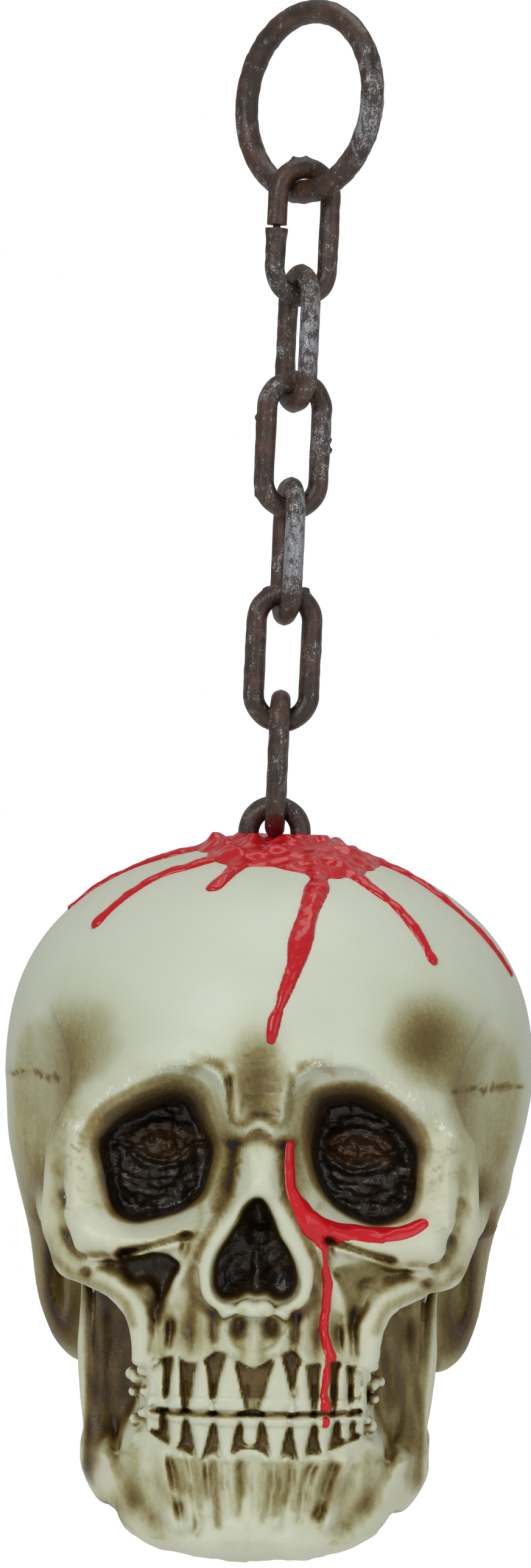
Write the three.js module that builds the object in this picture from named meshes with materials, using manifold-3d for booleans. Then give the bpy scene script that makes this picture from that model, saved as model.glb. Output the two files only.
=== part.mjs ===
// A hanging skull decoration at life size, in millimetres, with +Z up and the face towards -Y.
// A hollow moulded skull hangs by a staple through its crown from six loose plastic chain links
// and one large ring. Glossy red glue lies over the crown and runs down from one eye.
// The origin is the top of the ring's bore, where a hook carries the whole piece.

import * as THREE from 'three';
import { mergeVertices } from 'three/addons/utils/BufferGeometryUtils.js';
import Module from 'manifold-3d';

const wasm = await Module();
wasm.setup();

// Chain
const wireDiameter = 6;
const linkLength = 43;
const linkWidth = 22;
const ringWireDiameter = 7;
const ringDiameter = 59;
const play = 0.3;
const splitGap = 1;
const splitNeckDiameter = 2;
const splitDrop = 20;
const ringTurn = -45;
const linkTurns = [20, -65, 12, -76, 5, -90];

// Staple and the glue that holds it
const stapleWidth = 21;
const stapleLength = 25;
const glueUnderLinkGap = 0.4;
const crownGlueThickness = 1.1;
const plugWidth = 34;
const plugDepth = 18;
const plugHeight = 20;

// Skull
const skullHalfWidth = 77;
const vaultHeight = 150;
const browReach = 86;
const occiputReach = 92;
const widestBehindStaple = 12;
const stapleForward = 13;
const skullLean = 1;
const wallThickness = 2.5;
const ventDiameter = 6;
const boreOverrun = 4;

// Face
const faceHeight = 93;
const faceTopDrop = 62;
const cheekHalfWidth = 57;
const faceBackReach = 24;
const socketHalfWidth = 18.5;
const socketHalfHeight = 20.5;
const socketSpacing = 58;
const socketDrop = 87;
const socketDepth = 42;
const eyeWidth = 24;
const eyeDepth = 29;
const eyeHeight = 16;
const noseDrop = 99;
const noseHeight = 29;
const noseWidth = 24;
const noseDepth = 26;
const nasalTipReach = 94;
const nasalRootDrop = 74;
const archReach = 63;
const archThickness = 6;
const archHeight = 10;
const cheekboneWidth = 30;
const cheekboneDepth = 24;
const cheekboneHeight = 25;
const crestThickness = 5;
const templeHollowWidth = 30;
const templeHollowDepth = 54;
const templeHollowHeight = 58;
const cheekHollowWidth = 22;
const cheekHollowDepth = 31;
const cheekHollowHeight = 21;
const earKnobWidth = 18;
const earKnobDepth = 30;
const earKnobHeight = 30;
const baseDishWidth = 30;
const baseDishDepth = 35;
const baseDishHeight = 14;

// Jaw and teeth
const jawTopDrop = 159.5;
const jawHeight = 39.5;
const jawHalfWidth = 49.5;
const chinReach = 84;
const jawBackReach = 14;
const jawMiddleReach = 28;
const jawWall = 11;
const ramusTopDrop = 104;
const ramusHeight = 75;
const ramusThickness = 8;
const ramusDepth = 36;
const mouthWallTopDrop = 114;
const mouthWallHeight = 60;
const mouthWallReach = 47;
const mouthWallThickness = 6;
const toothBiteDrop = 158.5;
const biteGap = 3;
const upperCrownHeight = 13;
const lowerCrownHeight = 10;
const dentalReach = 87;
const dentalHalfWidth = 29;
const dentalSag = 17;
const toothDepth = 7;
const gumTopDrop = 141.6;
const gumHeight = 29.9;
const gumBackReach = 38.7;
const gumMiddleReach = 51.6;
const tabWidth = 9;
const tabHeight = 2;
const tabThickness = 3;

// Blood
const dripHalfWidth = 3.4;
const dripHalfThickness = 1.7;
const tearHalfWidth = 1.6;
const tearHalfThickness = 1.3;
const dropDiameter = 2.6;

// How square each rounded section is: 2 is an ellipse, more is squarer
const vaultSquareness = 2;
const faceSquareness = 3;
const jawSquareness = 2.2;
const gumSquareness = 2.4;
const branchSquareness = 2.6;
const socketSquareness = 2.7;
const dentalCurvePower = 2.4;

// Values worked out from the sizes above
const wireRadius = wireDiameter / 2;
const linkBend = (linkWidth - wireDiameter) / 2;
const linkStraight = linkLength - linkWidth;
const ringBend = (ringDiameter - ringWireDiameter) / 2;
const ringCentre = -(ringBend - ringWireDiameter / 2);
const linkPitch = linkLength - 2 * wireDiameter - play;
const firstLinkTop = ringCentre - ringBend + ringWireDiameter / 2 + play + wireDiameter;
const lastLinkBottom = firstLinkTop - (linkTurns.length - 1) * linkPitch - linkLength;
const skullPivot = lastLinkBottom + wireRadius;
const stapleTop = lastLinkBottom + wireDiameter + play + wireDiameter;
const vaultCentre = new THREE.Vector3(0, widestBehindStaple, -vaultHeight / 2);
const upwards = new THREE.Vector3(0, 0, 1);
const forwards = new THREE.Vector3(0, -1, 0);

// Solids

// Turns a triangle list inside out where its faces point inwards.
function facingOut(geometry) {
  const position = geometry.getAttribute('position');
  const index = geometry.index.array;
  const corners = [new THREE.Vector3(), new THREE.Vector3(), new THREE.Vector3()];
  let volume = 0;
  for (let i = 0; i < index.length; i += 3) {
    corners.forEach((corner, k) => corner.fromBufferAttribute(position, index[i + k]));
    volume += corners[0].dot(corners[1].clone().cross(corners[2]));
  }
  if (volume < 0) {
    for (let i = 0; i < index.length; i += 3) {
      [index[i], index[i + 1]] = [index[i + 1], index[i]];
    }
  }
  return geometry;
}

// Skins rings of equal count. A closed skin joins its last ring to its first; an open one gets a
// tip point at each end.
function skin(rings, tips = null) {
  const count = rings[0].length;
  const points = rings.flat();
  const faces = [];
  const spans = tips ? rings.length - 1 : rings.length;
  for (let i = 0; i < spans; i += 1) {
    const here = i * count;
    const next = ((i + 1) % rings.length) * count;
    for (let k = 0; k < count; k += 1) {
      const turn = (k + 1) % count;
      faces.push(here + k, here + turn, next + turn);
      faces.push(here + k, next + turn, next + k);
    }
  }
  if (tips) {
    const first = points.length;
    const last = (rings.length - 1) * count;
    points.push(tips[0], tips[1]);
    for (let k = 0; k < count; k += 1) {
      const turn = (k + 1) % count;
      faces.push(first, turn, k);
      faces.push(first + 1, last + k, last + turn);
    }
  }
  const geometry = new THREE.BufferGeometry().setFromPoints(points);
  geometry.setIndex(faces);
  return facingOut(geometry);
}

function solidOf(geometry) {
  const merged = mergeVertices(stripped(geometry.clone()));
  return new wasm.Manifold(new wasm.Mesh({
    numProp: 3,
    vertProperties: merged.getAttribute('position').array,
    triVerts: new Uint32Array(merged.index.array),
  }));
}

function geometryOf(solid) {
  const mesh = solid.getMesh();
  const geometry = new THREE.BufferGeometry();
  geometry.setAttribute('position', new THREE.BufferAttribute(mesh.vertProperties, 3));
  geometry.setIndex(new THREE.BufferAttribute(mesh.triVerts, 1));
  return geometry;
}

// Takes off the attributes that hold the doubled points of a ready-made form apart.
function stripped(geometry) {
  geometry.deleteAttribute('normal');
  geometry.deleteAttribute('uv');
  return geometry;
}

function largestPiece(solid) {
  return solid.decompose().sort((a, b) => b.volume() - a.volume())[0];
}

function joined(solids) {
  return solids.reduce((sum, solid) => sum.add(solid));
}

// Moves every side of a form out by the same length, or in where it is negative.
function swell(geometry, grow) {
  const box = new THREE.Box3().setFromBufferAttribute(geometry.getAttribute('position'));
  const size = box.getSize(new THREE.Vector3());
  const centre = box.getCenter(new THREE.Vector3());
  const widen = new THREE.Vector3(
    (size.x + 2 * grow) / size.x,
    (size.y + 2 * grow) / size.y,
    (size.z + 2 * grow) / size.z,
  );
  const swollen = geometry.clone();
  swollen.translate(-centre.x, -centre.y, -centre.z);
  swollen.scale(widen.x, widen.y, widen.z);
  swollen.translate(centre.x, centre.y, centre.z);
  return swollen;
}

function mirrored(geometry) {
  return facingOut(geometry.clone().scale(-1, 1, 1));
}

function bothSides(geometry) {
  return [geometry, mirrored(geometry)];
}

function named(name, geometry, look) {
  const merged = mergeVertices(stripped(geometry));
  merged.computeVertexNormals();
  const mesh = new THREE.Mesh(merged, new THREE.MeshStandardMaterial(look));
  mesh.name = name;
  return mesh;
}

// A rounded-square curve of half sizes a and b at an angle: 2 is an ellipse, more is squarer.
function roundSquare(angle, a, b, squareness) {
  const bow = (value) => Math.sign(value) * Math.abs(value) ** (2 / squareness);
  return [a * bow(Math.cos(angle)), b * bow(Math.sin(angle))];
}

function turnShares(count) {
  return Array.from({ length: count }, (_, k) => (2 * Math.PI * k) / count);
}

// A rounded lump about a centre, with its three sizes.
function lump(centre, [width, depth, height], segments) {
  const rows = Math.ceil(segments / 2) + 1;
  const ball = new THREE.SphereGeometry(1 / 2, segments, rows);
  ball.scale(width, depth, height);
  return stripped(ball.translate(centre.x, centre.y, centre.z));
}

// A solid through level sections. A row of shares gives a section's drop below the top, its half
// width, its foremost, hindmost and widest places, of the form's height, half width, front, back
// and middle.
function levelForm(form) {
  const angles = turnShares(form.points);
  const rings = form.shares.map(([drop, width, front, back, middle = 1]) => {
    const widest = middle * form.middle;
    return angles.map((angle) => {
      const reach = Math.sin(angle) < 0 ? widest - front * form.front : back * form.back - widest;
      const [x, y] = roundSquare(angle, width * form.halfWidth, reach, form.squareness);
      return new THREE.Vector3(x, widest + y, form.top - drop * form.height);
    });
  });
  const ends = [form.top, form.top - form.height];
  const closing = [form.shares[0], form.shares[form.shares.length - 1]];
  const tips = ends.map((height, k) => {
    const [, , front, back] = closing[k];
    return new THREE.Vector3(0, (front * form.front + back * form.back) / 2, height);
  });
  return skin(rings, tips);
}

// Chain

function wireRing(centre, out, side, radius, sides) {
  return turnShares(sides).map((angle) => centre.clone()
    .addScaledVector(out, radius * Math.cos(angle))
    .addScaledVector(side, radius * Math.sin(angle)));
}

const acrossLoop = new THREE.Vector3(0, 1, 0);
const wireSides = 10;
const bendSteps = 9;

// Rings of wire round half a bend about a centre on the loop's middle line, in the XZ plane.
function bendRings(bend, height, fromAngle, radius) {
  const rings = [];
  for (let i = 0; i <= bendSteps; i += 1) {
    const angle = fromAngle + (Math.PI * i) / bendSteps;
    const out = new THREE.Vector3(Math.cos(angle), 0, Math.sin(angle));
    const centre = out.clone().multiplyScalar(bend).add(new THREE.Vector3(0, 0, height));
    rings.push(wireRing(centre, out, acrossLoop, radius, wireSides));
  }
  return rings;
}

// The cut leg of the first link: two square ends with a thin neck of flash between them.
function splitRings() {
  const out = new THREE.Vector3(-1, 0, 0);
  const upper = linkLength / 2 - splitDrop;
  const lower = upper - splitGap;
  const neck = splitNeckDiameter / 2;
  const steps = [[upper, wireRadius], [upper, neck], [lower, neck], [lower, wireRadius]];
  return steps.map(([height, radius]) => (
    wireRing(new THREE.Vector3(-linkBend, 0, height), out, acrossLoop, radius, wireSides)
  ));
}

function linkGeometry(split) {
  const rings = bendRings(linkBend, linkStraight / 2, 0, wireRadius);
  if (split) {
    rings.push(...splitRings());
  }
  rings.push(...bendRings(linkBend, -linkStraight / 2, Math.PI, wireRadius));
  return skin(rings);
}

function chainLink(index) {
  const mesh = named(`chain_link_${index + 1}`, linkGeometry(index === 0), chainLook);
  mesh.position.z = firstLinkTop - index * linkPitch - linkLength / 2;
  mesh.rotation.z = THREE.MathUtils.degToRad(linkTurns[index]);
  return mesh;
}

function hangingRing() {
  const ringSteps = 36;
  const geometry = new THREE.TorusGeometry(ringBend, ringWireDiameter / 2, wireSides, ringSteps);
  geometry.rotateX(Math.PI / 2);
  const mesh = named('hanging_ring', geometry, chainLook);
  mesh.position.z = ringCentre;
  mesh.rotation.z = THREE.MathUtils.degToRad(ringTurn);
  return mesh;
}

// A link cut in half: an arch whose two legs pass down through the crown.
function stapleGeometry(grow) {
  const bend = (stapleWidth - wireDiameter) / 2;
  const top = stapleTop - vaultTop;
  const arch = top - wireRadius - bend;
  const foot = top - stapleLength;
  const radius = wireRadius + grow;
  const rings = bendRings(bend, arch, 0, radius);
  const right = new THREE.Vector3(1, 0, 0);
  const left = new THREE.Vector3(-1, 0, 0);
  rings.unshift(wireRing(new THREE.Vector3(bend, 0, foot - grow), right, acrossLoop, radius, wireSides));
  rings.push(wireRing(new THREE.Vector3(-bend, 0, foot - grow), left, acrossLoop, radius, wireSides));
  const tips = [bend, -bend].map((x) => new THREE.Vector3(x, 0, foot - grow));
  return skin(rings, tips).translate(0, -stapleForward, 0);
}

// Skull, in a frame with its origin at the top of the vault

const vaultShares = [
  [0.012, 0.24, 0.22, 0.25],
  [0.037, 0.46, 0.42, 0.46],
  [0.085, 0.61, 0.63, 0.66],
  [0.13, 0.735, 0.745, 0.78],
  [0.2, 0.87, 0.86, 0.88],
  [0.28, 0.94, 0.935, 0.95],
  [0.37, 0.985, 0.975, 0.99],
  [0.46, 1, 0.99, 1],
  [0.56, 0.973, 0.86, 0.985],
  [0.66, 0.93, 0.62, 0.93],
  [0.78, 0.868, 0.42, 0.8],
  [0.89, 0.83, 0.3, 0.63],
  [0.96, 0.76, 0.22, 0.47],
  [0.99, 0.6, 0.14, 0.36],
];

function vault(points) {
  return levelForm({
    shares: vaultShares,
    top: 0,
    height: vaultHeight,
    halfWidth: skullHalfWidth,
    front: -browReach,
    back: occiputReach,
    middle: widestBehindStaple,
    squareness: vaultSquareness,
    points,
  });
}

// A place by its shares of the skull's half width, the brow's reach and the vault's height.
function headPlace([across, ahead, up]) {
  return new THREE.Vector3(across * skullHalfWidth, ahead * browReach, up * vaultHeight);
}

// Where a straight line from a point, on its way, first meets the outer face of a solid.
function meeting(mesh, from, way) {
  const [hit] = new THREE.Raycaster(from, way).intersectObject(mesh);
  return { point: hit.point, normal: hit.face.normal.clone() };
}

const vaultSurface = new THREE.Mesh(vault(28));
const aboveStaple = new THREE.Vector3(0, -stapleForward, vaultHeight);
const dropAtStaple = -meeting(vaultSurface, aboveStaple, new THREE.Vector3(0, 0, -1)).point.z;
const vaultTop = lastLinkBottom - glueUnderLinkGap - crownGlueThickness - play + dropAtStaple;

// Brow, orbits, cheeks and upper jaw, from above the brow down to the bite.
const faceShares = [
  [0, 0.8, 0.95, 1.2],
  [0.11, 0.92, 1.01, 1],
  [0.22, 0.97, 1, 1],
  [0.36, 1, 0.975, 1],
  [0.5, 1, 0.965, 1],
  [0.6, 0.94, 0.955, 1],
  [0.68, 0.76, 0.96, 1],
  [0.77, 0.6, 0.97, 1.1],
  [0.88, 0.53, 0.985, 1.2],
  [1, 0.49, 0.985, 1.3],
];

function faceBlock(points) {
  return levelForm({
    shares: faceShares,
    top: -faceTopDrop,
    height: faceHeight,
    halfWidth: cheekHalfWidth,
    front: -browReach,
    back: -faceBackReach / 2,
    middle: -faceBackReach,
    squareness: faceSquareness,
    points,
  });
}

// A swept form along a line of places. Each place has a half size across, square to the given
// way, and another square to that.
function sweep(places, halfSizes, way, sides) {
  const curve = new THREE.CatmullRomCurve3(places);
  const last = places.length - 1;
  const rings = places.map((_, k) => {
    const centre = curve.getPoint(k / last);
    const along = curve.getTangent(k / last);
    const across = new THREE.Vector3().crossVectors(along, way).normalize();
    const over = new THREE.Vector3().crossVectors(across, along).normalize();
    const [wide, tall] = halfSizes[k];
    return turnShares(sides).map((angle) => centre.clone()
      .addScaledVector(across, wide * Math.cos(angle))
      .addScaledVector(over, tall * Math.sin(angle)));
  });
  return skin(rings, [places[0], places[last]]);
}

// The cheek's arch, from the cheekbone back to the ear.
const archPlaceShares = [
  [0.51, -0.82, -0.735],
  [0.68, -0.68, -0.72],
  [0.78, -0.5, -0.695],
  [0.82, -0.28, -0.68],
  [0.835, -0.05, -0.665],
  [0.845, 0.12, -0.66],
];
const archSizeShares = [[0.7, 0.8], [1, 1], [0.8, 0.8], [0.6, 0.55], [0.7, 0.6], [0.9, 0.8]];

function cheekArch() {
  const sizes = archSizeShares.map(([wide, tall]) => [wide * archThickness, tall * archHeight]);
  return sweep(archPlaceShares.map(headPlace), sizes, upwards, 8);
}

// A rounded ridge over each orbit, from the nasal root out and down the orbit's outer side.
const browPlaceShares = [
  [0.09, -0.985, -0.53],
  [0.28, -0.995, -0.445],
  [0.5, -0.93, -0.45],
  [0.63, -0.81, -0.5],
  [0.665, -0.73, -0.58],
  [0.665, -0.7, -0.66],
  [0.65, -0.7, -0.73],
];
const browSizeShares = [
  [0.5, 0.6], [0.75, 0.7], [0.75, 0.8], [0.8, 0.9], [0.95, 1], [1.2, 1.1], [1.3, 1.1],
];

function browRidge() {
  const sizes = browSizeShares.map(([wide, deep]) => [wide * archThickness, deep * archHeight]);
  return sweep(browPlaceShares.map(headPlace), sizes, forwards, 8);
}

// The crest that sweeps in from the cheekbone to the gum over the back teeth.
const crestPlaceShares = [
  [0.69, -0.66, -0.765],
  [0.585, -0.75, -0.805],
  [0.5, -0.79, -0.845],
  [0.43, -0.81, -0.89],
  [0.35, -0.8, -0.965],
];
const crestSizeShares = [[1, 1.3], [1, 1.3], [0.95, 1.2], [0.9, 1.1], [0.8, 1]];

function cheekCrest() {
  const sizes = crestSizeShares.map(([wide, deep]) => [wide * crestThickness, deep * crestThickness]);
  return sweep(crestPlaceShares.map(headPlace), sizes, forwards, 8);
}

// The nasal bones: a narrow saddle that stands forward towards its tip.
const nasalShares = [
  [0, 0.3, 0.92],
  [0.3, 0.24, 0.935],
  [0.65, 0.24, 0.965],
  [0.95, 0.3, 1],
];

function nasalBones() {
  const height = noseDrop - nasalRootDrop;
  const rings = nasalShares.map(([drop, width, reach]) => turnShares(12).map((angle) => {
    const depth = reach * nasalTipReach - browReach + archHeight;
    const [x, y] = roundSquare(angle, width * noseWidth, depth, 2);
    return new THREE.Vector3(x, y - browReach + archHeight, -nasalRootDrop - drop * height);
  }));
  const tips = [nasalRootDrop, noseDrop].map((drop) => (
    new THREE.Vector3(0, -browReach + archHeight, -drop)
  ));
  return skin(rings, tips);
}

// An orbit: a rounded square mouth that narrows inwards and towards the nose. A row of shares
// gives a section's depth, its size and how far it has moved towards the nose.
const socketShares = [
  [-0.35, 1.15, -0.05],
  [0, 1, 0],
  [0.3, 0.86, 0.14],
  [0.6, 0.66, 0.3],
  [0.85, 0.4, 0.45],
];
const socketMouthShare = 0.2;
const socketSlantShare = 0.17;
const socketTipShares = [[-0.5, 0], [0.95, 0.5]];

function socketCut() {
  const front = -browReach + socketMouthShare * socketDepth;
  const rings = socketShares.map(([depth, size, inward]) => turnShares(16).map((angle) => {
    const half = [size * socketHalfWidth, size * socketHalfHeight];
    const [x, z] = roundSquare(angle, ...half, socketSquareness);
    const middle = socketSpacing / 2 - inward * socketHalfWidth;
    const height = z - socketSlantShare * x - socketDrop;
    return new THREE.Vector3(middle + x, front + depth * socketDepth, height);
  }));
  const tips = socketTipShares.map(([depth, inward]) => {
    const middle = socketSpacing / 2 - inward * socketHalfWidth;
    return new THREE.Vector3(middle, front + depth * socketDepth, -socketDrop);
  });
  return skin(rings, tips);
}

// The pear-shaped opening of the nose, with a point up and two lobes at its foot.
const pearShares = [
  [0, 0], [0.35, -0.25], [0.68, -0.44], [0.95, -0.64], [1, -0.8], [0.8, -0.97], [0.42, -0.99], [0, -0.92],
];

function noseCut() {
  const right = pearShares.map(([x, z]) => new THREE.Vector2((x * noseWidth) / 2, z * noseHeight));
  const left = right.slice(1, -1).reverse().map((place) => new THREE.Vector2(-place.x, place.y));
  const depth = noseDepth + boreOverrun * 2;
  const pear = new THREE.Shape([...right, ...left]);
  const cut = new THREE.ExtrudeGeometry(pear, { depth, bevelEnabled: false });
  cut.rotateX(Math.PI / 2);
  cut.scale(1, -1, 1);
  cut.translate(0, -browReach - boreOverrun * 2, -noseDrop);
  return facingOut(mergeVertices(stripped(cut)));
}

// The centres of lumps and hollows, for headPlace
const eyeShares = [0.3616, -0.648, -0.58];
const templeShares = [0.92, -0.5, -0.565];
const cheekboneShares = [0.61, -0.69, -0.745];
const cheekHollowShares = [0.42, -0.92, -0.82];
const earKnobShares = [0.66, 0.07, -0.93];
const baseDishShares = [0, 0.178, -1];

// The withered eye moulded into the bottom of each orbit.
function witheredEye() {
  return lump(headPlace(eyeShares), [eyeWidth, eyeDepth, eyeHeight], 10);
}

// The hollow of the temple, behind the orbit's outer rim and above the cheek's arch.
function templeCut() {
  return lump(headPlace(templeShares), [templeHollowWidth, templeHollowDepth, templeHollowHeight], 14);
}

// The body of the cheekbone at the orbit's lower outer corner.
function cheekbone() {
  return lump(headPlace(cheekboneShares), [cheekboneWidth, cheekboneDepth, cheekboneHeight], 12);
}

// The hollow under the cheekbone beside the upper teeth.
function cheekCut() {
  return lump(headPlace(cheekHollowShares), [cheekHollowWidth, cheekHollowDepth, cheekHollowHeight], 12);
}

// The knob behind each ear, under the widest part of the vault.
function earKnob() {
  return lump(headPlace(earKnobShares), [earKnobWidth, earKnobDepth, earKnobHeight], 12);
}

// The shallow dish of the great opening under the vault, and the vent drilled through it.
function baseDish() {
  return lump(headPlace(baseDishShares), [baseDishWidth, baseDishDepth, baseDishHeight], 14);
}

function vent() {
  const drill = new THREE.CylinderGeometry(ventDiameter / 2, ventDiameter / 2, ramusDepth, 10);
  drill.rotateX(Math.PI / 2);
  const place = headPlace(baseDishShares);
  return stripped(drill.translate(place.x, place.y, place.z));
}

const jawShares = [
  [0, 0.6, 0.975, 1.8, 1.6],
  [0.2, 0.7, 0.96, 1.5, 1.2],
  [0.36, 0.92, 0.95, 1.1, 1],
  [0.5, 0.99, 0.955, 1, 1],
  [0.66, 0.93, 0.975, 1.3, 1],
  [0.8, 0.8, 1, 1.9, 1.3],
  [0.92, 0.58, 0.99, 2.6, 1.7],
  [1, 0.38, 0.95, 3.3, 2.1],
];

function jawBody(points) {
  return levelForm({
    shares: jawShares,
    top: -jawTopDrop,
    height: jawHeight,
    halfWidth: jawHalfWidth,
    front: -chinReach,
    back: -jawBackReach,
    middle: -jawMiddleReach,
    squareness: jawSquareness,
    points,
  });
}

// The open floor of the mouth between the two sides of the jaw, seen from below.
const jawCutShares = [[0, 0.9, 0.97, 1], [0.6, 1, 1, 1], [1, 0.95, 1, 1]];

function jawCut() {
  return levelForm({
    shares: jawCutShares,
    top: -jawTopDrop - jawWall / 2,
    height: jawHeight,
    halfWidth: jawHalfWidth - jawWall,
    front: -chinReach + jawWall,
    back: 0,
    middle: -jawMiddleReach,
    squareness: jawSquareness,
    points: 16,
  });
}

// The moulded wall that closes the hollow between the teeth and the jaw's two branches.
const mouthWallShares = [[0, 0.94, 0.94, 1], [0.5, 0.97, 1, 1], [1, 1, 1, 1]];

function mouthWall() {
  return levelForm({
    shares: mouthWallShares,
    top: -mouthWallTopDrop,
    height: mouthWallHeight,
    halfWidth: jawHalfWidth - ramusThickness / 2,
    front: -mouthWallReach,
    back: -mouthWallReach + mouthWallThickness,
    middle: -mouthWallReach + mouthWallThickness / 2,
    squareness: faceSquareness,
    points: 12,
  });
}

// Each side's upright branch, from below the cheek's arch down to the jaw's angle.
const ramusShares = [
  [0, 0.95, 0.5, 0.7],
  [0.3, 0.93, 0.66, 0.85],
  [0.6, 0.95, 0.84, 0.92],
  [0.85, 0.97, 0.96, 1],
  [1, 0.9, 1.1, 0.9],
];

function ramus() {
  const half = ramusThickness / 2;
  const placed = ramusShares.map(([drop, side, forward]) => (
    new THREE.Vector3(side * jawHalfWidth - half, -forward * ramusDepth, -ramusTopDrop - drop * ramusHeight)
  ));
  const rings = ramusShares.map(([, , , depth], k) => turnShares(10).map((angle) => {
    const [x, y] = roundSquare(angle, half, (depth * ramusDepth) / 2, branchSquareness);
    return placed[k].clone().add(new THREE.Vector3(x, y, 0));
  }));
  return skin(rings, [placed[0], placed[placed.length - 1]]);
}

// Crowns along the dental arch: each tooth's place and width as shares of the arch's half width.
const upperToothShares = [
  [0.2, 0.29], [0.46, 0.2], [0.63, 0.16], [0.76, 0.11], [0.87, 0.12], [0.98, 0.14],
];
const lowerToothShares = [[0.26, 0.22], [0.52, 0.225], [0.73, 0.2], [0.91, 0.16]];
const middleLowerShares = [[0, 0.24]];

function archDepth(across) {
  const share = Math.min(1, Math.abs(across) / dentalHalfWidth);
  return -dentalReach + dentalSag * share ** dentalCurvePower;
}

// A tooth from its root, which sinks into the gum, to a thin biting edge.
const toothShares = [[0, 0.5, 0.7], [0.7, 1, 1], [1, 0.9, 0.55]];

function tooth([place, width], biteHeight, crown, facing) {
  const x = place * dentalHalfWidth;
  const half = (width * dentalHalfWidth) / 2;
  const y = archDepth(x) + toothDepth / 2;
  const root = biteHeight + facing * crown;
  const rings = toothShares.map(([run, wide, deep]) => turnShares(6).map((angle) => {
    const [dx, dy] = roundSquare(angle, wide * half, (deep * toothDepth) / 2, branchSquareness);
    return new THREE.Vector3(x + dx, y + dy, root - facing * run * crown);
  }));
  const tips = [root, biteHeight].map((height) => new THREE.Vector3(x, y, height));
  return skin(rings, tips);
}

function teeth() {
  const upperBite = -toothBiteDrop + biteGap / 2;
  const lowerBite = -toothBiteDrop - biteGap / 2;
  const upper = upperToothShares.flatMap((share) => (
    bothSides(tooth(share, upperBite, upperCrownHeight, 1))
  ));
  const lower = lowerToothShares.flatMap((share) => (
    bothSides(tooth(share, lowerBite, lowerCrownHeight, -1))
  ));
  const middle = middleLowerShares.map((share) => tooth(share, lowerBite, lowerCrownHeight, -1));
  return [...upper, ...lower, ...middle];
}

// The gum that carries both rows of teeth, drawn in a little at the bite.
const gumShares = [
  [0, 1, 0.985, 1],
  [0.25, 1.02, 0.975, 1],
  [0.5, 1, 0.95, 1],
  [0.75, 1.02, 0.965, 1],
  [1, 1.05, 0.965, 1],
];

function gum(points) {
  return levelForm({
    shares: gumShares,
    top: -gumTopDrop,
    height: gumHeight,
    halfWidth: dentalHalfWidth,
    front: -dentalReach,
    back: -gumBackReach,
    middle: -gumMiddleReach,
    squareness: gumSquareness,
    points,
  });
}

// The pinched-off tab of flash under the chin.
const tabReachShare = 0.9;

function pinchTab() {
  const centre = new THREE.Vector3(0, -tabReachShare * chinReach, -jawTopDrop - jawHeight);
  return lump(centre, [tabWidth, tabThickness, 2 * tabHeight], 8);
}

// All of the skull's outer form, grown by a clearance where one is given.
function skullForm(grow) {
  const added = [vault(28), faceBlock(24), nasalBones(), jawBody(24), pinchTab(), gum(20), mouthWall()];
  for (const side of [cheekArch(), cheekbone(), cheekCrest(), browRidge(), ramus(), earKnob()]) {
    added.push(...bothSides(side));
  }
  const cut = [noseCut(), jawCut(), baseDish()];
  for (const side of [socketCut(), templeCut(), cheekCut()]) {
    cut.push(...bothSides(side));
  }
  const kept = [...teeth(), ...bothSides(witheredEye())];
  const body = joined(added.map((form) => solidOf(swell(form, grow))));
  const hollows = joined(cut.map((form) => solidOf(swell(form, -grow))));
  return body.subtract(hollows).add(joined(kept.map((form) => solidOf(swell(form, grow)))));
}

// The cavity: the vault and face drawn in by the wall, kept a wall away from every hollow.
function skullCavity() {
  const grown = [vault(16), faceBlock(14), gum(10), jawBody(12)];
  const inner = joined(grown.map((form) => solidOf(swell(form, -wallThickness))));
  const hollows = [noseCut(), jawCut(), baseDish()];
  for (const side of [socketCut(), templeCut(), cheekCut()]) {
    hollows.push(...bothSides(side));
  }
  const walled = [...hollows, ...bothSides(witheredEye())];
  const kept = joined(walled.map((form) => solidOf(swell(form, wallThickness))));
  return largestPiece(inner.subtract(kept));
}

const skullOuter = skullForm(0);
const skullShell = largestPiece(
  [skullCavity(), solidOf(vent()), solidOf(stapleGeometry(play))]
    .reduce((rest, cut) => rest.subtract(cut), skullOuter),
);

// Glue

// The set lump of clear glue inside the crown, cast round both legs of the staple.
function gluePlug() {
  const centre = new THREE.Vector3(0, -stapleForward, -dropAtStaple - wallThickness * 2);
  const lumpOfGlue = solidOf(lump(centre, [plugWidth, plugDepth, plugHeight], 12));
  const inside = solidOf(swell(vault(28), -wallThickness - play));
  return largestPiece(lumpOfGlue.intersect(inside).subtract(solidOf(stapleGeometry(play))));
}

// A bead of glue laid along places on a surface, wide and flat, thinning by its size shares.
const leastBeadShare = 0.75;

function bead(hits, halfWidth, halfThickness, sizeShares) {
  const last = hits.length - 1;
  const rings = hits.map(({ point, normal }, k) => {
    const ahead = hits[Math.min(k + 1, last)].point;
    const behind = hits[Math.max(k - 1, 0)].point;
    const along = ahead.clone().sub(behind).normalize();
    const across = new THREE.Vector3().crossVectors(along, normal).normalize();
    const over = new THREE.Vector3().crossVectors(across, along).normalize();
    const run = (k / last) * (sizeShares.length - 1);
    const low = Math.min(Math.floor(run), sizeShares.length - 2);
    const size = THREE.MathUtils.lerp(sizeShares[low], sizeShares[low + 1], run - low);
    return turnShares(6).map((angle) => point.clone()
      .addScaledVector(across, size * halfWidth * Math.cos(angle))
      .addScaledVector(over, Math.max(size, leastBeadShare) * halfThickness * Math.sin(angle)));
  });
  return solidOf(skin(rings, [hits[0].point, hits[last].point]));
}

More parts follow.
